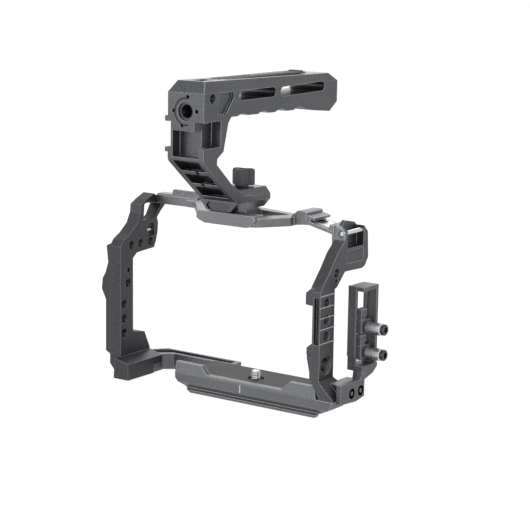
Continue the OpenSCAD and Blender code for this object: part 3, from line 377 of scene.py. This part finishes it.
def moulded(name, colour):
    """Moulded plastic: an even fine texture with glossier high spots."""
    s = Shader(bpy.data.materials.new(name))
    rounded, edge = s.edge(radius=0.5 * MM)
    skin = s.noise(cycles=1800.0, detail=2.0)
    cloud = s.noise(cycles=50.0, detail=3.0)
    pattern = skin * 0.5 + cloud * 0.5
    tone = s.toned(colour, pattern, edge * 0.5, dark=0.8, light=1.3, worn_and_lit=1.9)
    grain = s.bump(skin, strength=0.3, depth=0.05 * MM, normal=rounded)
    return s.finish(tone, roughness=0.5 + skin.swing(0.2), metallic=0.0, normal=grain)


def paint_line(name, colour):
    """Paint filled into an engraved mark, a little uneven."""
    s = Shader(bpy.data.materials.new(name))
    fleck = s.noise(cycles=900.0, detail=3.0)
    tone = s.mix(fleck, rgba(colour, 0.85), rgba(colour))
    return s.finish(tone, roughness=fleck.spread(0.55, 0.65), metallic=0.0)


def studio_surface(name, colour):
    """A pale stage surface that shows white to the camera and still takes the object's shadow."""
    s = Shader(bpy.data.materials.new(name))
    shade = s.add("ShaderNodeBsdfDiffuse", inputs={"Color": rgba(colour)})
    glow = s.add("ShaderNodeEmission", inputs={"Color": WHITE, "Strength": FLOOR_GLOW})
    factor = s.sees_background() * FLOOR_WHITENESS
    return s.close(s.add("ShaderNodeMixShader", inputs={0: factor, 1: shade, 2: glow}))


def grid_piece(name, points, close_u=False):
    """A closed surface from points [u, v, xyz] in mm: v always wraps round, u wraps when asked.

    Four neighbours on the grid make a face, and an open end is closed by one face.
    """
    count_u, count_v = points.shape[:2]
    index = np.arange(count_u * count_v).reshape(count_u, count_v)
    after_v = np.roll(index, -1, axis=1)
    rows = slice(None) if close_u else slice(0, -1)
    next_u = np.roll(index, -1, axis=0)
    next_uv = np.roll(after_v, -1, axis=0)
    corners = [index[rows], after_v[rows], next_uv[rows], next_u[rows]]
    faces = np.stack(corners, axis=-1).reshape(-1, 4)
    mesh = bpy.data.meshes.new(name)
    mesh.from_pydata((points * MM).reshape(-1, 3).tolist(), [], faces.tolist())
    work = bmesh.new()
    work.from_mesh(mesh)
    bmesh.ops.remove_doubles(work, verts=work.verts, dist=MERGE_WITHIN)
    bmesh.ops.dissolve_degenerate(work, edges=work.edges, dist=SLIVER_UNDER)
    bmesh.ops.holes_fill(work, edges=work.edges, sides=0)
    bmesh.ops.recalc_face_normals(work, faces=work.faces)
    work.to_mesh(mesh)
    work.free()
    mesh.shade_smooth()
    mesh.set_sharp_from_angle(angle=SHARP_ABOVE)
    piece = bpy.data.objects.new(name, mesh)
    bpy.context.collection.objects.link(piece)
    return piece


def shrunk(outline, inset):
    """An outline moved inward: each corner goes along the bisector of its two edge normals."""
    outline = np.asarray(outline, dtype=float)
    edge = np.roll(outline, -1, axis=0) - outline
    x, y = outline[:, 0], outline[:, 1]
    turn = np.sign(np.sum(x * np.roll(y, -1) - np.roll(x, -1) * y))
    outward = turn * np.stack([edge[:, 1], -edge[:, 0]], axis=-1)
    normal = outward / np.linalg.norm(edge, axis=1)[:, None]
    before = np.roll(normal, 1, axis=0)
    return outline - inset * (normal + before) / (1 + np.sum(normal * before, axis=1))[:, None]


def plate(name, outline, axis, start, end, bevel=0.3):
    """A plate: its outline carried from start to end along an axis, drawn in by a bevel at both."""
    path = ((start, bevel), (start + bevel, 0), (end - bevel, 0), (end, bevel))
    layers = [np.insert(shrunk(outline, inset), axis, place, axis=1) for place, inset in path]
    return grid_piece(name, np.stack(layers))


def slab(name, low, high, bevel):
    """A box between two corners, with bevelled edges."""
    outline = [(low[X], low[Y]), (high[X], low[Y]), (high[X], high[Y]), (low[X], high[Y])]
    return plate(name, outline, Z, low[Z], high[Z], bevel)


def slabs(boxes, move=(0, 0, 0)):
    """The boxes of a table, all moved alike."""
    return [slab(name, np.add(low, move), np.add(high, move), bevel)
            for name, low, high, bevel in boxes]


def joined(name, pieces):
    """One object made of several pieces."""
    with bpy.context.temp_override(active_object=pieces[0], object=pieces[0],
                                   selected_objects=pieces, selected_editable_objects=pieces):
        bpy.ops.object.join()
    pieces[0].name = name
    return pieces[0]


def around(count):
    """Angles of a full turn in equal steps."""
    return np.linspace(0, 2 * math.pi, count, endpoint=False)


def lathed(name, path, centre, axis, angles, close_u=False):
    """A turned piece: each station of the path lies along the axis, with a radius out from it.

    A radius is one number, or one for each angle.
    """
    along = Vector(axis)
    side = along.orthogonal().normalized() if abs(along.x) < 0.5 else Vector((0, 1, 0))
    across = along.cross(side)
    ring = np.cos(angles)[:, None] * np.array(side) + np.sin(angles)[:, None] * np.array(across)
    stations = np.array([station for station, _ in path])[:, None, None] * np.array(along)
    radii = np.stack([np.broadcast_to(radius, angles.shape) for _, radius in path])
    points = np.array(centre) + stations + radii[:, :, None] * ring
    return grid_piece(name, points, close_u)


def thread(stations, angles, radius, depth, pitch):
    """Radius of a screw thread: the crest less a triangle wave that climbs one pitch a turn."""
    phase = np.mod(stations[:, None] / pitch - angles / (2 * math.pi), 1.0)
    return radius - depth * np.abs(2 * phase - 1)


def hexagon(angles, apothem):
    """Radius of a hexagon: its apothem over the cosine of the angle from the nearest flat."""
    return apothem / np.cos(np.mod(angles, math.pi / 3) - math.pi / 6)


def three_lobed(angles, reach, lobe, core):
    """Radius of a knob: the far side of a lobe, or the round core, whichever is greater.

    The lobes are three circles whose middles stand at this reach, a third of a turn apart.
    """
    third = 2 * math.pi / 3
    turn = np.mod(angles + third / 2, third) - third / 2
    inside = np.maximum(lobe ** 2 - (reach * np.sin(turn)) ** 2, 0)
    far_side = reach * np.cos(turn) + np.sqrt(inside)
    return np.maximum(np.where(np.abs(reach * np.sin(turn)) < lobe, far_side, 0), core)


def squarish(values, power):
    """One coordinate of a superellipse: a sine or cosine to a power, with its sign kept."""
    return np.sign(values) * np.abs(values) ** power


def clothe(piece, material, body, slot, *nodes):
    """Gives a piece its finish and body, and hides the CAD nodes that it stands for. Its slot is
    not used.
    """
    piece.data.materials.append(material)
    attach(piece, body)
    if nodes:
        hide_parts(*nodes)
    return piece


def box_of(node):
    """Lowest and highest corner of a CAD node, in mm."""
    low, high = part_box(node)
    return low / MM, high / MM


class CageLook(bpy.types.PropertyGroup):
    """Colours of the finishes."""

    black: bpy.props.FloatVectorProperty(
        name="Black anodising", description="Colour of the columns, handle and clamp",
        subtype="COLOR", default=(0.075, 0.077, 0.082), min=0, max=1)
    # painted light: the base plate and lower arm are the same black anodising, made lighter for the
    # light their faces catch
    lit_grey: bpy.props.FloatVectorProperty(
        name="Lit grey anodising", description="Colour of the base plate and lower arm",
        subtype="COLOR", default=(0.13, 0.133, 0.14), min=0, max=1)
    # painted reflection: the top bar is the same black anodising, made paler for the sky it
    # reflects
    lit_pale: bpy.props.FloatVectorProperty(
        name="Lit pale anodising", description="Colour of the top bar",
        subtype="COLOR", default=(0.17, 0.173, 0.18), min=0, max=1)
    rubber: bpy.props.FloatVectorProperty(
        name="Rubber", description="Colour of the grip pad and handle strip",
        subtype="COLOR", default=(0.045, 0.045, 0.048), min=0, max=1)
    seat: bpy.props.FloatVectorProperty(
        name="Seat rubber", description="Colour of the camera seat",
        subtype="COLOR", default=(0.06, 0.061, 0.063), min=0, max=1)
    steel: bpy.props.FloatVectorProperty(
        name="Steel", description="Colour of screws and pins",
        subtype="COLOR", default=(0.62, 0.63, 0.64), min=0, max=1)


class CageSizes(bpy.types.PropertyGroup):
    """Sizes of the fine work."""

    thread_pitch: bpy.props.FloatProperty(
        name="Thread pitch", description="Pitch of the 1/4-20 threads",
        unit="LENGTH", default=1.27 * MM)
    thread_depth: bpy.props.FloatProperty(
        name="Thread depth", description="Depth of the threads",
        unit="LENGTH", default=0.45 * MM)
    knurl_count: bpy.props.IntProperty(
        name="Knurls", description="Straight knurls round a thumb screw", default=36, min=8)
    knurl_depth: bpy.props.FloatProperty(
        name="Knurl depth", description="Depth of the knurls",
        unit="LENGTH", default=0.1 * MM)
    line_width: bpy.props.FloatProperty(
        name="Index line width", description="Width of the painted line on the base",
        unit="LENGTH", default=0.7 * MM)


class CAGE_OT_finishes(bpy.types.Operator):
    """Gives every CAD node its finish"""

    bl_idname = "cage.finishes"
    bl_label = "Finishes"

    def execute(self, context):
        look = context.scene.cage_look
        slots = {
            # lighter copy of the black anodising on the base plate and lower arm, painted light
            "dark_anodised": anodised("grey_anodising", look.lit_grey, roughness=0.46),
            "black_anodised": anodised("black_anodising", look.black, roughness=0.42),
            # the top bar's paler copy of the black anodising, a painted reflection
            "grey_anodised": anodised("pale_anodising", look.lit_pale, roughness=0.44),
            "seat_rubber": rubber("seat_rubber", look.seat, dimple=0.3),
            "grip_rubber": rubber("grip_rubber", look.rubber),
            "bright_steel": steel("turned_steel", look.steel, roughness=0.3),
            "black_steel": anodised("black_steel", look.black, roughness=0.35, metallic=0.9,
                                    wear_and_highlight=0.5),
            "knob_plastic": moulded("knob_plastic", look.rubber),
            "brass": steel("turned_brass", BRASS, roughness=0.35),
        }
        own = {
            "cable_clamp_screws": steel("satin_steel", rgba(look.steel, 0.75), roughness=0.42),
            "mount_bush": steel("blackened_thread", look.black, roughness=0.38),
            # the handle's lighter copy of the black anodising is painted light
            "handle_body": anodised("handle_anodising", rgba(look.black, 1.22), roughness=0.4),
            # the grip's darker copy of the black anodising is painted shade
            "grip_plate": anodised("grip_anodising", rgba(look.black, 0.72), roughness=0.45),
        }
        # finishes of pieces that are added later
        # the clamp, carriages and prongs get a lighter, less metallic copy of the black anodising:
        # painted light for the shade the clamp sits in
        anodised("black_anodised_fine", rgba(look.black, 1.3), roughness=0.5, metallic=0.3)
        # a near-black copy of the anodising, painted shade of the groove round the front mount
        anodised("deep_black", rgba(look.black, 0.3), roughness=0.6, metallic=0.3, wear_and_highlight=0.3)
        # ribs of the same rubber made far lighter: painted highlight on their tops
        rubber("strip_rib_rubber", rgba(look.rubber, 7), dimple=0.2)
        paint_line("white_paint", WHITE_PAINT)
        for part in frame["record"]["subparts"]:
            name = part["node"]
            node = frame["nodes"][name]
            node.data.materials.clear()
            node.data.materials.append(own.get(name) or slots[part["material_slot"]])
        return {"FINISHED"}


class CAGE_OT_camera_screw(bpy.types.Operator):
    """Turns the camera screw with its head, its shank, the groove of its ring and its thread"""

    bl_idname = "cage.camera_screw"
    bl_label = "Camera screw"

    def execute(self, context):
        sizes = context.scene.cage_sizes
        low, high = box_of("camera_screw")
        head_r, head_top, chamfer = 8.3, -11.0, 0.4
        shank_r, tip_r, lead = QUARTER_INCH_R, 2.5, 0.5
        groove_r, groove_foot, groove_top = 2.4, -2.7, -0.2
        angles = around(48)
        steps = np.linspace(groove_top, high.z - lead, 60)
        crests = thread(steps, angles, shank_r, sizes.thread_depth / MM, sizes.thread_pitch / MM)
        path = [
            (low.z, 0), (low.z, head_r - chamfer), (low.z + chamfer, head_r),
            (head_top - chamfer, head_r), (head_top, head_r - chamfer),
            (head_top, shank_r), (groove_foot, shank_r),
            (groove_foot, groove_r), (groove_top, groove_r),
            *zip(steps, crests),
            (high.z, tip_r), (high.z, 0)]
        piece = lathed("camera_screw_turned", path, (0, 0, 0), (0, 0, 1), angles)
        clothe(piece, finish_of("turned_steel"), "camera_screw", "bright_steel", "camera_screw")
        return {"FINISHED"}


class CAGE_OT_thumb_screws(bpy.types.Operator):
    """Turns the thumb screws: a barrel with a fine knurl, a groove, a ring and a hexagon socket"""

    bl_idname = "cage.thumb_screws"
    bl_label = "Thumb screws"

    def execute(self, context):
        sizes = context.scene.cage_sizes
        steps_a_knurl = 6
        angles = around(steps_a_knurl * sizes.knurl_count)
        dents = np.abs(np.sin(angles * sizes.knurl_count / 2))
        knurl = THUMB_R - sizes.knurl_depth / MM * dents
        socket = hexagon(angles, THUMB_SOCKET)
        shank_r, collar_r, rim_r = 1.95, 3.4, 3.9
        for place in ("upper", "lower"):
            node = place + "_thumb_screw"
            low, high = box_of(node)
            middle = (low + high) / 2
            root, tip = THUMB_ROOT_X, high.x
            barrel = [
                (low.x, 0), (low.x, shank_r), (root, shank_r),  # shank
                (root, collar_r), (root + 0.6, 4.0),  # chamfer
                (root + 0.9, knurl), (tip - 3.3, knurl),  # grip
                (tip - 3.0, rim_r), (tip - 2.6, 3.3), (tip - 2.6, 0)]  # groove
            ring = [
                (tip - 2.5, 2.6), (tip - 2.5, 3.6), (tip - 2.2, rim_r), (tip - 0.6, rim_r),
                (tip, 3.3), (tip, socket), (tip - 2.3, socket)]
            centre = (0, middle.y, middle.z)
            piece = lathed(node + "_barrel", barrel, centre, (1, 0, 0), angles)
            clothe(piece, finish_of("turned_steel"), node, "bright_steel", node)
            piece = lathed(node + "_ring", ring, centre, (1, 0, 0), angles, close_u=True)
            clothe(piece, finish_of("blackened_thread"), node, "bright_steel")
        return {"FINISHED"}


class CAGE_OT_cable_clamp(bpy.types.Operator):
    """Bends the frame of the cable clamp and shapes its two carriages with their jaws"""

    bl_idname = "cage.cable_clamp"
    bl_label = "Cable clamp"

    def execute(self, context):
        # lighter copy of the black anodising, painted light
        black = finish_of("black_anodised_fine")
        bent = slabs(CLAMP_BOXES) + [plate(*row) for row in CLAMP_PLATES]
        piece = joined("cable_clamp_frame_bent", bent)
        clothe(piece, black, "cage", "black_anodised", "cable_clamp_frame")
        for place, top in CARRIAGE_TOPS.items():
            node = place + "_carriage"
            block = joined(node + "_block", slabs(CARRIAGE_BOXES, move=(0, 0, top)))
            clothe(block, black, node, "black_anodised", node)
        return {"FINISHED"}


class CAGE_OT_handle_trim(bpy.types.Operator):
    """Adds the prongs and the arc round the front mount, and moulds the top strip with its ribs"""

    bl_idname = "cage.handle_trim"
    bl_label = "Handle trim"

    def execute(self, context):
        x = HANDLE_X
        prongs = joined("handle_prongs", slabs(PRONG_BOXES, move=(x, 0, CAGE_TOP)))
        # the prongs take the lighter copy of the black anodising, painted light
        clothe(prongs, finish_of("black_anodised_fine"), "handle", "black_anodised")

        # a shallow dark band round the left half of the front mount, painted shade of a groove
        # there: two arcs, there and back
        sweep = np.linspace(ARC_FROM, ARC_TO, 40)
        arc = np.stack([np.cos(sweep), np.sin(sweep)], axis=-1)
        rim = np.concatenate([arc * ARC_OUTER, arc[::-1] * ARC_INNER])
        rim += (x, CAGE_TOP + MOUNT_HEIGHT)
        band = plate("mount_arc", rim, Y, ARC_FRONT, ARC_BACK, bevel=0.02)
        clothe(band, finish_of("deep_black"), "handle", "black_anodised")

        low, high = box_of("handle_top_strip")
        start, end = low.y + STRIP_BARE_SHARE * (high.y - low.y), high.y
        seat, crown = low.z, low.z + STRIP_RISE
        left, right = x - STRIP_HALF, x + STRIP_HALF
        tuck = 0.1  # keeps the faces of boxes that overlap apart
        strip = joined("handle_strip_moulded", slabs((
            ("strip_bed", (low.x + tuck, low.y + tuck, seat),
             (high.x - tuck, end - tuck, crown - 2 * tuck), 0.1),
            ("strip", (left, start, seat + tuck), (right, end - 2 * tuck, crown), 0.4),
            ("strip_end", (left - tuck, end - STRIP_END_LENGTH, seat + 2 * tuck),
             (right + tuck, end - 3 * tuck, crown + STRIP_END_RISE), 0.3))))
        clothe(strip, finish_of("grip_rubber"), "handle", "grip_rubber", "handle_top_strip")
        # the raised ribs, lightened as a painted highlight
        ribs = joined("strip_ribs", slabs(
            ("rib", (x - RIB_HALF, front, crown - 2 * tuck),
             (x + RIB_HALF, front + RIB_LENGTH, crown + RIB_RISE), 0.12)
            for front in start + FIRST_RIB + RIB_PITCH * np.arange(RIB_COUNT)))
        clothe(ribs, finish_of("strip_rib_rubber"), "handle", "grip_rubber")
        return {"FINISHED"}


class CAGE_OT_bar_end(bpy.types.Operator):
    """Shapes the end of the top bar that laps over the front of the strap block"""

    bl_idname = "cage.bar_end"
    bl_label = "Top bar end"

    def execute(self, context):
        tongue = plate("bar_end_plate", BAR_END, Y, BAR_END_FRONT, BAR_END_BACK, bevel=0.5)
        # the end plate takes the top bar's paler finish, a painted reflection
        clothe(tongue, finish_of("pale_anodising"), "cage", "grey_anodised")
        centre = (HOLE_X, BAR_END_FRONT, HOLE_Z)
        seat = lathed("bar_end_hole", HOLE_PROFILE, centre, (0, 1, 0), around(32))
        clothe(seat, finish_of("blackened_thread"), "cage", "grey_anodised")
        return {"FINISHED"}


class CAGE_OT_wing_knob(bpy.types.Operator):
    """Moulds the three lobed knob of the handle clamp"""

    bl_idname = "cage.wing_knob"
    bl_label = "Wing knob"

    def execute(self, context):
        low, high = box_of("wing_knob")
        angles = around(144)
        rim = three_lobed(angles, LOBE_REACH, LOBE_R, KNOB_CORE_R)
        base, top = KNOB_BASE_Z, high.z
        path = [
            (low.z, 0), (low.z, KNOB_SHANK_R), (KNOB_FLANGE_Z, KNOB_SHANK_R),
            (KNOB_FLANGE_Z, KNOB_FLANGE_R), (base, KNOB_FLANGE_R),
            (base, rim - 0.7), (base + 0.3, rim - 0.2), (base + 0.8, rim),  # rounded foot
            (top - 1.6, rim), (top - 0.8, rim - 0.25), (top - 0.3, rim - 0.8),  # rounded head
            (top, rim - 1.6), (top, 2.4), (top - 0.8, 2.0), (top - 0.8, 0)]  # dimple
        piece = lathed("wing_knob_moulded", path, (HANDLE_X, KNOB_Y, 0), (0, 0, 1), angles)
        clothe(piece, finish_of("knob_plastic"), "wing_knob", "knob_plastic", "wing_knob")
        return {"FINISHED"}


class CAGE_OT_tapped_holes(bpy.types.Operator):
    """Lines the tapped holes with their turns of thread"""

    bl_idname = "cage.tapped_holes"
    bl_label = "Tapped holes"

    def execute(self, context):
        sizes = context.scene.cage_sizes
        holes = [(mount["name"], np.array(mount["pos_m"]) / MM, mount["axis"],
                  mount["dims"]["r_mm"], mount["dims"]["length_mm"])
                 for mount in frame["record"]["mounts"]
                 if mount["kind"] == "threaded_hole" and not mount["name"].startswith("grip")]
        holes += [("grip_thread_%d" % number, (GRIP_FACE_X, y, z), (1, 0, 0),
                   QUARTER_INCH_R, GRIP_HOLE_LENGTH)
                  for number, (y, z) in enumerate(GRIP_HOLES)]
        angles = around(40)
        groups = {}
        for name, place, axis, radius, length in holes:
            pitch = sizes.thread_pitch / MM * (COARSE_PITCH if radius > COARSE_ABOVE_R else 1.0)
            steps = np.arange(-length / 2, length / 2, pitch / STEPS_A_TURN)
            depth = sizes.thread_depth / MM
            crests = thread(steps, angles, radius + CREST_BEHIND, depth, pitch)
            wall = radius + WALL_BEHIND
            path = [*zip(steps, crests), (steps[-1], wall), (steps[0], wall)]
            turns = lathed(name + "_turns", path, place, axis, angles, close_u=True)
            groups.setdefault(name.split("_")[0], []).append(turns)
        for side, pieces in groups.items():
            turns = joined(side + "_thread_turns", pieces)
            clothe(turns, finish_of("blackened_thread"), HOLE_BODIES[side], "black_anodised")
        return {"FINISHED"}


class CAGE_OT_index_line(bpy.types.Operator):
    """Fills the engraved line of the base and the marks of the port column with white paint"""

    bl_idname = "cage.index_line"
    bl_label = "Index line"

    def execute(self, context):
        paint = finish_of("white_paint")
        angles = around(32)
        # a rounded slab: a superellipse carried a short way along Y, closed at both ends by
        # drawing it in to its middle
        half_width = context.scene.cage_sizes.line_width / MM / 2
        outline = np.stack([half_width * squarish(np.cos(angles), LINE_SQUARENESS), 0 * angles,
                            LINE_HALF_HEIGHT * squarish(np.sin(angles), LINE_SQUARENESS)], axis=-1)
        layers = ((LINE_FRONT, 0), (LINE_FRONT, 1), (LINE_BACK, 1), (LINE_BACK, 0))
        points = np.stack([outline * share + LINE_MIDDLE + (0, y, 0) for y, share in layers])
        clothe(grid_piece("index_line_paint", points), paint, "cage", "bright_steel")
        marks = joined("column_marks_paint", slabs(MARK_BOXES))
        clothe(marks, paint, "cage", "bright_steel")
        return {"FINISHED"}


def linked(name, data):
    """A new object of this mesh, camera or lamp, in the scene."""
    thing = bpy.data.objects.new(name, data)
    bpy.context.collection.objects.link(thing)
    return thing


def soft_box(name, place, size, power):
    """A square area lamp that looks at the object."""
    lamp = bpy.data.lights.new(name, "AREA")
    lamp.energy = power
    lamp.size = size
    holder = linked(name, lamp)
    holder.location = place
    facing = Vector(LAMP_TARGET) - Vector(place)
    holder.rotation_euler = facing.to_track_quat("-Z", "Y").to_euler()


def photo_view():
    """The camera: its back is turned by yaw and pitch, then its right and up by the roll."""
    back = Vector((math.sin(VIEW_YAW) * math.cos(VIEW_PITCH),
                   -math.cos(VIEW_YAW) * math.cos(VIEW_PITCH), math.sin(VIEW_PITCH)))
    level = Vector((math.cos(VIEW_YAW), math.sin(VIEW_YAW), 0))
    rise = back.cross(level)
    right = math.cos(VIEW_ROLL) * level + math.sin(VIEW_ROLL) * rise
    up = math.cos(VIEW_ROLL) * rise - math.sin(VIEW_ROLL) * level
    lens = bpy.data.cameras.new("photo_view")
    lens.lens = VIEW_LENS
    lens.sensor_width = SENSOR
    lens.clip_start, lens.clip_end = CLIP_NEAR, CLIP_FAR
    holder = linked("photo_view", lens)
    turn = Matrix((right, up, back)).transposed().to_4x4()
    holder.matrix_world = Matrix.Translation(VIEW_PLACE) @ turn
    return holder


class CAGE_OT_stage(bpy.types.Operator):
    """Sets up the camera, the soft lamps, the floor and the white surround"""

    bl_idname = "cage.stage"
    bl_label = "Stage"

    def execute(self, context):
        scene = context.scene
        scene.view_settings.view_transform = "Standard"
        scene.camera = photo_view()

        ground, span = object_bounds()[0].z, FLOOR_SPAN
        mesh = bpy.data.meshes.new("floor")
        corners = [(-span, -span), (span, -span), (span, span), (-span, span)]
        mesh.from_pydata([(x, y, ground) for x, y in corners], [], [(0, 1, 2, 3)])
        mesh.materials.append(studio_surface("floor_paper", FLOOR_COLOUR))
        linked("floor", mesh)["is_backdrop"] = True

        surround = Shader(bpy.data.worlds.new("surround"))
        strength = surround.sees_background().spread(SURROUND_LIGHT, 1)
        sky = surround.add("ShaderNodeBackground", inputs={"Color": WHITE, "Strength": strength})
        scene.world = surround.close(sky, "ShaderNodeOutputWorld")

        for lamp in LAMPS:
            soft_box(*lamp)
        return {"FINISHED"}


class CAGE_PT_panel(bpy.types.Panel):
    """Lists the steps in the sidebar"""

    bl_idname = "CAGE_PT_panel"
    bl_label = "Camera Cage"
    bl_space_type = "VIEW_3D"
    bl_region_type = "UI"
    bl_category = "Cage"

    def draw(self, context):
        for step in STEPS:
            self.layout.operator(step.bl_idname)
        for group in (context.scene.cage_look, context.scene.cage_sizes):
            for key in group.bl_rna.properties.keys():
                if key not in ("rna_type", "name"):
                    self.layout.prop(group, key)


STEPS = (CAGE_OT_finishes, CAGE_OT_camera_screw, CAGE_OT_thumb_screws, CAGE_OT_cable_clamp,
         CAGE_OT_handle_trim, CAGE_OT_bar_end, CAGE_OT_wing_knob, CAGE_OT_tapped_holes,
         CAGE_OT_index_line, CAGE_OT_stage)
CLASSES = (CageLook, CageSizes, *STEPS, CAGE_PT_panel)


def register():
    for item in CLASSES:
        bpy.utils.register_class(item)
    bpy.types.Scene.cage_look = bpy.props.PointerProperty(type=CageLook)
    bpy.types.Scene.cage_sizes = bpy.props.PointerProperty(type=CageSizes)


def unregister():
    del bpy.types.Scene.cage_sizes
    del bpy.types.Scene.cage_look
    for item in reversed(CLASSES):
        bpy.utils.unregister_class(item)


def main():
    """Makes every piece and the stage."""
    register()
    for step in STEPS:
        group, name = step.bl_idname.split(".")
        getattr(getattr(bpy.ops, group), name)()


if __name__ == "__main__":
    main()
